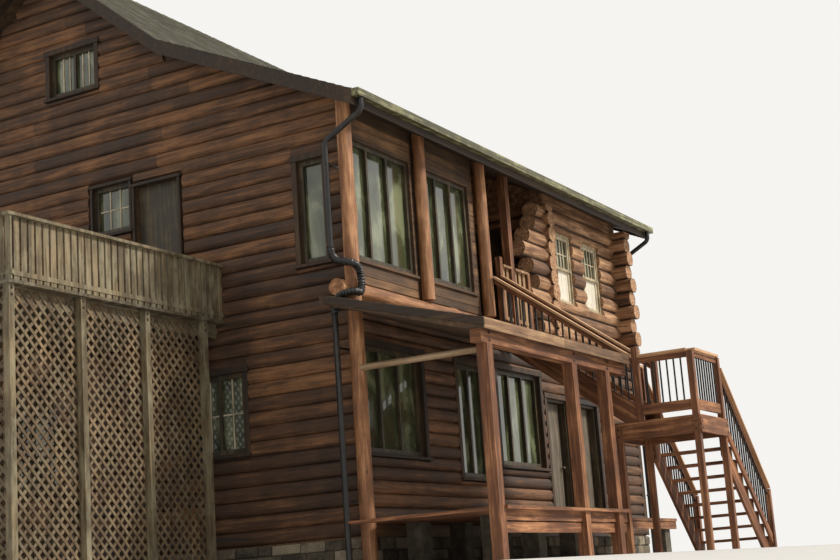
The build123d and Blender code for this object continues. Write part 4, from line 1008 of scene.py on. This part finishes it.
def smooth_line(points, count):
    """Places along a quadratic B-spline that starts and ends on its end points."""
    controls = [Vector(point) for point in points]
    middles = [controls[0]] + [(a + b) / 2 for a, b in zip(controls[1:], controls[2:-1])]
    middles.append(controls[-1])
    found = []
    for k, control in enumerate(controls[1:-1]):
        a, b = middles[k], middles[k + 1]
        for i in range(count):
            t = i / count
            found.append(a * (1 - t) ** 2 + control * 2 * t * (1 - t) + b * t * t)
    return found + [controls[-1]]


SPOUT, RIGHT_SPOUT, SPOUT_RADIUS = (-0.4, 0.015), (HOUSE_WIDTH + 0.12, -0.1), 0.04
GUTTER_Y, GUTTER_BOTTOM, ELBOW_Z, GAP = -0.5855, 6.1895, 6.02, 0.002
pipes = Shape()
for way in (((SPOUT[0], GUTTER_Y, GUTTER_BOTTOM), (SPOUT[0], GUTTER_Y, ELBOW_Z),
             (*SPOUT, 5.7), (*SPOUT, 4.2)),
            ((*SPOUT, 3.42), (*SPOUT, 0.0)),
            ((RIGHT_SPOUT[0], GUTTER_Y, GUTTER_BOTTOM), (RIGHT_SPOUT[0], GUTTER_Y, ELBOW_Z),
             (*RIGHT_SPOUT, 5.76), (*RIGHT_SPOUT, 0.0))):
    pipes.tube(*zip(*along_route(way, 0.07, 0.012)), SPOUT_RADIUS)
for (x, y), heights, to_wall, wall_x in (
        (SPOUT, (5.4, 2.9, 0.9), 1, -GAP),
        (RIGHT_SPOUT, (5.2, 3.4, 1.2), -1, HOUSE_WIDTH + GAP)):
    x0, x1 = sorted((x + to_wall * SPOUT_RADIUS, wall_x))
    for z in heights:
        pipes.tube([(x, y, z - 0.016), (x, y, z + 0.016)], [(0, 0, 1)] * 2,
                   SPOUT_RADIUS + 0.004)
        pipes.box((x0, y - 0.01, z - 0.014), (x1, y + 0.01, z + 0.014))
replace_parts(pipes.piece("downspout_pipes", black_pipe, "black_pipe", smooth=True),
            "downspouts")

# The hose's line, and rings along it, each turned to follow the one before
HOSE_Y, HOSE_RADIUS, RIDGES, RING_STEP = -0.318, 0.046, (0.009, 0.007, 0.0, 0.0), 0.0075
HOSE_SIDES, LINE_STEPS = 18, 60
hose_line = smooth_line(((*SPOUT, 4.25), (*SPOUT, 4.06), (-0.43, HOSE_Y, 3.99),
                         (-0.235, HOSE_Y, 3.93), (-0.22, HOSE_Y, 3.59), (-0.42, HOSE_Y, 3.61),
                         (*SPOUT, 3.57), (*SPOUT, 3.34)), LINE_STEPS)
spaced, travelled = [hose_line[0]], 0.0
for last, place in zip(hose_line, hose_line[1:]):
    travelled += (place - last).length
    if travelled >= RING_STEP:
        spaced.append(place)
        travelled = 0.0
rings = []
for k, place in enumerate(spaced):
    way = (spaced[min(k + 1, len(spaced) - 1)] - spaced[max(k - 1, 0)]).normalized()
    if abs(way.z) < 0.95:
        side = way.cross(Vector((0, 0.02, 1))).normalized()
    else:
        side = Vector((0, 1, 0)).cross(way).normalized()
    ring = circle(place, HOSE_RADIUS + RIDGES[k % 4], side, side.cross(way),
                  HOSE_SIDES)
    if rings:
        first, second = rings[-1][:2]
        turn = min(range(HOSE_SIDES), key=lambda n: (ring[n] - first).length)
        ring = ring[turn:] + ring[:turn]
        if (ring[1] - second).length > (ring[-1] - second).length:
            ring = [ring[0]] + ring[:0:-1]
    rings.append(ring)
hose = Shape()
hose.loft(rings)
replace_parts(hose.piece("drain_hose", black_pipe, "black_pipe", smooth=True), "downspouts")


# Trim of the porch roof, soffit boards, and bolts of the outside stair

def sloped(shape, x0, x1, ends, thick, lift=0.0):
    """A board from x to x with its top along a slope between two ends, as (y, z)."""
    shape.loft([[(x0, y, z - thick), (x1, y, z - thick), (x1, y, z + lift), (x0, y, z + lift)]
                for y, z in ends])


porch_front = Shape()
for x0, x1 in ((-0.79, 1.56), (1.563, 3.91)):
    porch_front.box((x0, -2.352, 2.765), (x1, -2.332, 2.903))
porch_front.piece("porch_fascia", wood("fascia_x", FASCIA_TONES, X_AXIS, pieces=True),
                  "cedar", bevel=0.003)
porch_trim = Shape()
for x0, x1 in ((-0.802, -0.782), (3.902, 3.922)):
    sloped(porch_trim, x0, x1, ((-2.352, 2.893), (-0.06, 3.523)), 0.1, 0.002)
porch_trim.piece("porch_rake", wood("dark_rake", TRIM_TONES, X_AXIS, turned=True),
                 "brown_trim", bevel=0.003)

# Soffit boards under the ends of the roof, as first and last y, level at y 0 and slope
SOFFIT, SOFFIT_GAP, EAVE_BOARD = 0.014, 0.006, 0.12
high_under = RIDGE_TOP - RIDGE_Y * HIGH_SLOPE - HIGH_RISE
under_break = (roof_under - high_under) / (HIGH_SLOPE - LOW_SLOPE)
soffit = Shape()
for x_start, x_end, count in ((ROOF_LEFT + 0.01, -0.01, 4),
                              (HOUSE_WIDTH + 0.02, ROOF_RIGHT - 0.01, 2)):
    width = (x_end - x_start) / count
    for y0, y1, level, slope in ((EAVE_Y + 0.01, under_break, roof_under, LOW_SLOPE),
                                 (under_break, RIDGE_Y, high_under, HIGH_SLOPE),
                                 (RIDGE_Y, BACK_EAVE_Y - 0.01,
                                  high_under + 2 * RIDGE_Y * HIGH_SLOPE, -HIGH_SLOPE)):
        for i in range(count):
            left = x_start + i * width
            sloped(soffit, left + SOFFIT_GAP / 2, left + width - SOFFIT_GAP / 2,
                   [(y, level + y * slope) for y in (y0, y1)], SOFFIT)
soffit.piece("rake_soffit", wood("soffit_y", TRIM_TONES, Y_AXIS, pieces=True), "brown_trim")
eaves = Shape()
for i in range(4):
    start = EAVE_Y + SOFFIT_GAP + i * EAVE_BOARD
    sloped(eaves, 0.01, HOUSE_WIDTH, [(y, roof_under + y * LOW_SLOPE)
                                      for y in (start + SOFFIT_GAP, start + EAVE_BOARD)],
           SOFFIT)
eaves.piece("eave_soffit", wood("soffit_x", TRIM_TONES, X_AXIS, pieces=True), "brown_trim")

BOLT_PROFILE = ((0.0, 1.35), (0.002, 1.35), (0.002, 1.0), (0.007, 0.8), (0.0095, 0.35))
TO_FRONT, TO_LEFT = Vector((0, -1, 0)), Vector((-1, 0, 0))
bolts = Shape()


def bolt(x, y, z, out=TO_FRONT, radius=0.014):
    """The domed head of a carriage bolt on a washer."""
    place = Vector((x, y, z))
    side = out.cross(Vector((0, 0, 1))).normalized()
    up = side.cross(out)
    bolts.loft([circle(place + out * depth, radius * share, side, up, 10)
                for depth, share in BOLT_PROFILE])


for x in (3.95, 5.085):
    for z in (1.73, 1.83):
        bolt(x, -3.338, z)
for z in (1.73, 1.83):
    for y in (-3.255, -2.055):
        bolt(3.905, y, z, TO_LEFT)
for x in (-0.5, 2.05, 3.21):
    for z in (2.66, 2.75):
        bolt(x, -2.262, z, radius=0.016)
for bay in range(4):
    for z in (3.43, 3.51):
        bolt(-4.105 + bay * 1.222, 2.098, z)
bolts.piece("bolt_heads", hinge_steel, "hinge_steel", smooth=True)


# Stage, light and camera

# Level ground ends at these edges, and falls away in front of them
FLOOR_EDGES = (((-4.8, 1.2), (-1.3, -2.9)), ((-1.3, -2.9), (3.6, -3.9)),
               ((3.6, -3.9), (12, -5.6)))
GROUND_SLOPE, SOFTNESS = 0.118, 0.25


def ground(x, y):
    """Height of the floor, which bends down softly in front of the level ground."""
    beyond = max(((bx - ax) * (ay - y) - (by - ay) * (ax - x)) / math.hypot(bx - ax, by - ay)
                 for (ax, ay), (bx, by) in FLOOR_EDGES)
    return -GROUND_SLOPE * SOFTNESS * math.log1p(math.exp(min(beyond / SOFTNESS, 600.0)))


# A grid that is fine near the house and reaches far
GRID, GRID_X, GRID_FINE, GRID_REACH = 181, 2.0, 13.0, 320.0
steps = [2 * i / (GRID - 1) - 1 for i in range(GRID)]
spread = [GRID_FINE * t + (GRID_REACH - GRID_FINE) * t ** 7 for t in steps]
points = [(GRID_X + x, y, ground(GRID_X + x, y)) for y in spread for x in spread]
faces = [(j * GRID + i, j * GRID + i + 1, (j + 1) * GRID + i + 1, (j + 1) * GRID + i)
         for j in range(GRID - 1) for i in range(GRID - 1)]
floor_mesh = bpy.data.meshes.new("floor")
floor_mesh.from_pydata(points, [], faces)
floor_mesh.shade_smooth()
floor_mesh.materials.append(Paint("floor_paint").done((0.68, 0.67, 0.645, 1.0), 0.9))
added("floor", floor_mesh)

# The world lights softly, and is paler where it is seen, mirrored or looked at through glass
LIT, SEEN = 0.56, 0.92
world = bpy.data.worlds.new("studio")
bpy.context.scene.world = world
world.use_nodes = True
sky = Nodes(world.node_tree)
rays = sky.node("ShaderNodeLightPath").outputs
seen = sky.math("MAXIMUM", rays["Is Camera Ray"], rays["Is Transmission Ray"])
seen = sky.math("MAXIMUM", seen, rays["Is Glossy Ray"])
strength = sky.node("ShaderNodeMapRange", {"Value": seen, "To Min": LIT, "To Max": SEEN})
background = sky.tree.nodes["Background"]
sky.put(background.inputs["Color"], (1.0, 0.985, 0.955, 1.0))
sky.put(background.inputs["Strength"], strength.outputs[0])

TO_SUN = (0.3, -0.7, 0.65)
sun_data = bpy.data.lights.new("key", "SUN")
sun_data.energy, sun_data.angle, sun_data.color = 3.1, math.radians(9), (1.0, 0.95, 0.87)
sun = added("key", sun_data)
sun.rotation_mode = "QUATERNION"
sun.rotation_quaternion = Vector(TO_SUN).to_track_quat("Z", "Y")

# The photograph's viewpoint: eye, turn from +Y towards +X, tilt up and roll, in degrees
EYE = Vector((-16.83, -10.36, -0.35))
YAW, PITCH, ROLL = (math.radians(a) for a in (61.11, 11.84, 4.11))
FOCAL_PIXELS, IMAGE_WIDTH = 1507.0, 840.0
SENSOR = 36.0
forward = Vector((math.sin(YAW) * math.cos(PITCH), math.cos(YAW) * math.cos(PITCH),
                  math.sin(PITCH)))
level_right = Vector((math.cos(YAW), -math.sin(YAW), 0.0))
level_down = forward.cross(level_right)
right = level_right * math.cos(ROLL) + level_down * math.sin(ROLL)
down = level_down * math.cos(ROLL) - level_right * math.sin(ROLL)
camera_data = bpy.data.cameras.new("camera")
camera_data.sensor_width = SENSOR
camera_data.lens = FOCAL_PIXELS / IMAGE_WIDTH * SENSOR
camera_data.clip_end = 1000.0
camera = added("camera", camera_data)
turned = Matrix((right, -down, -forward)).transposed().to_4x4()
camera.matrix_world = Matrix.Translation(EYE) @ turned
bpy.context.scene.camera = camera
bpy.context.scene.view_settings.view_transform = "Standard"
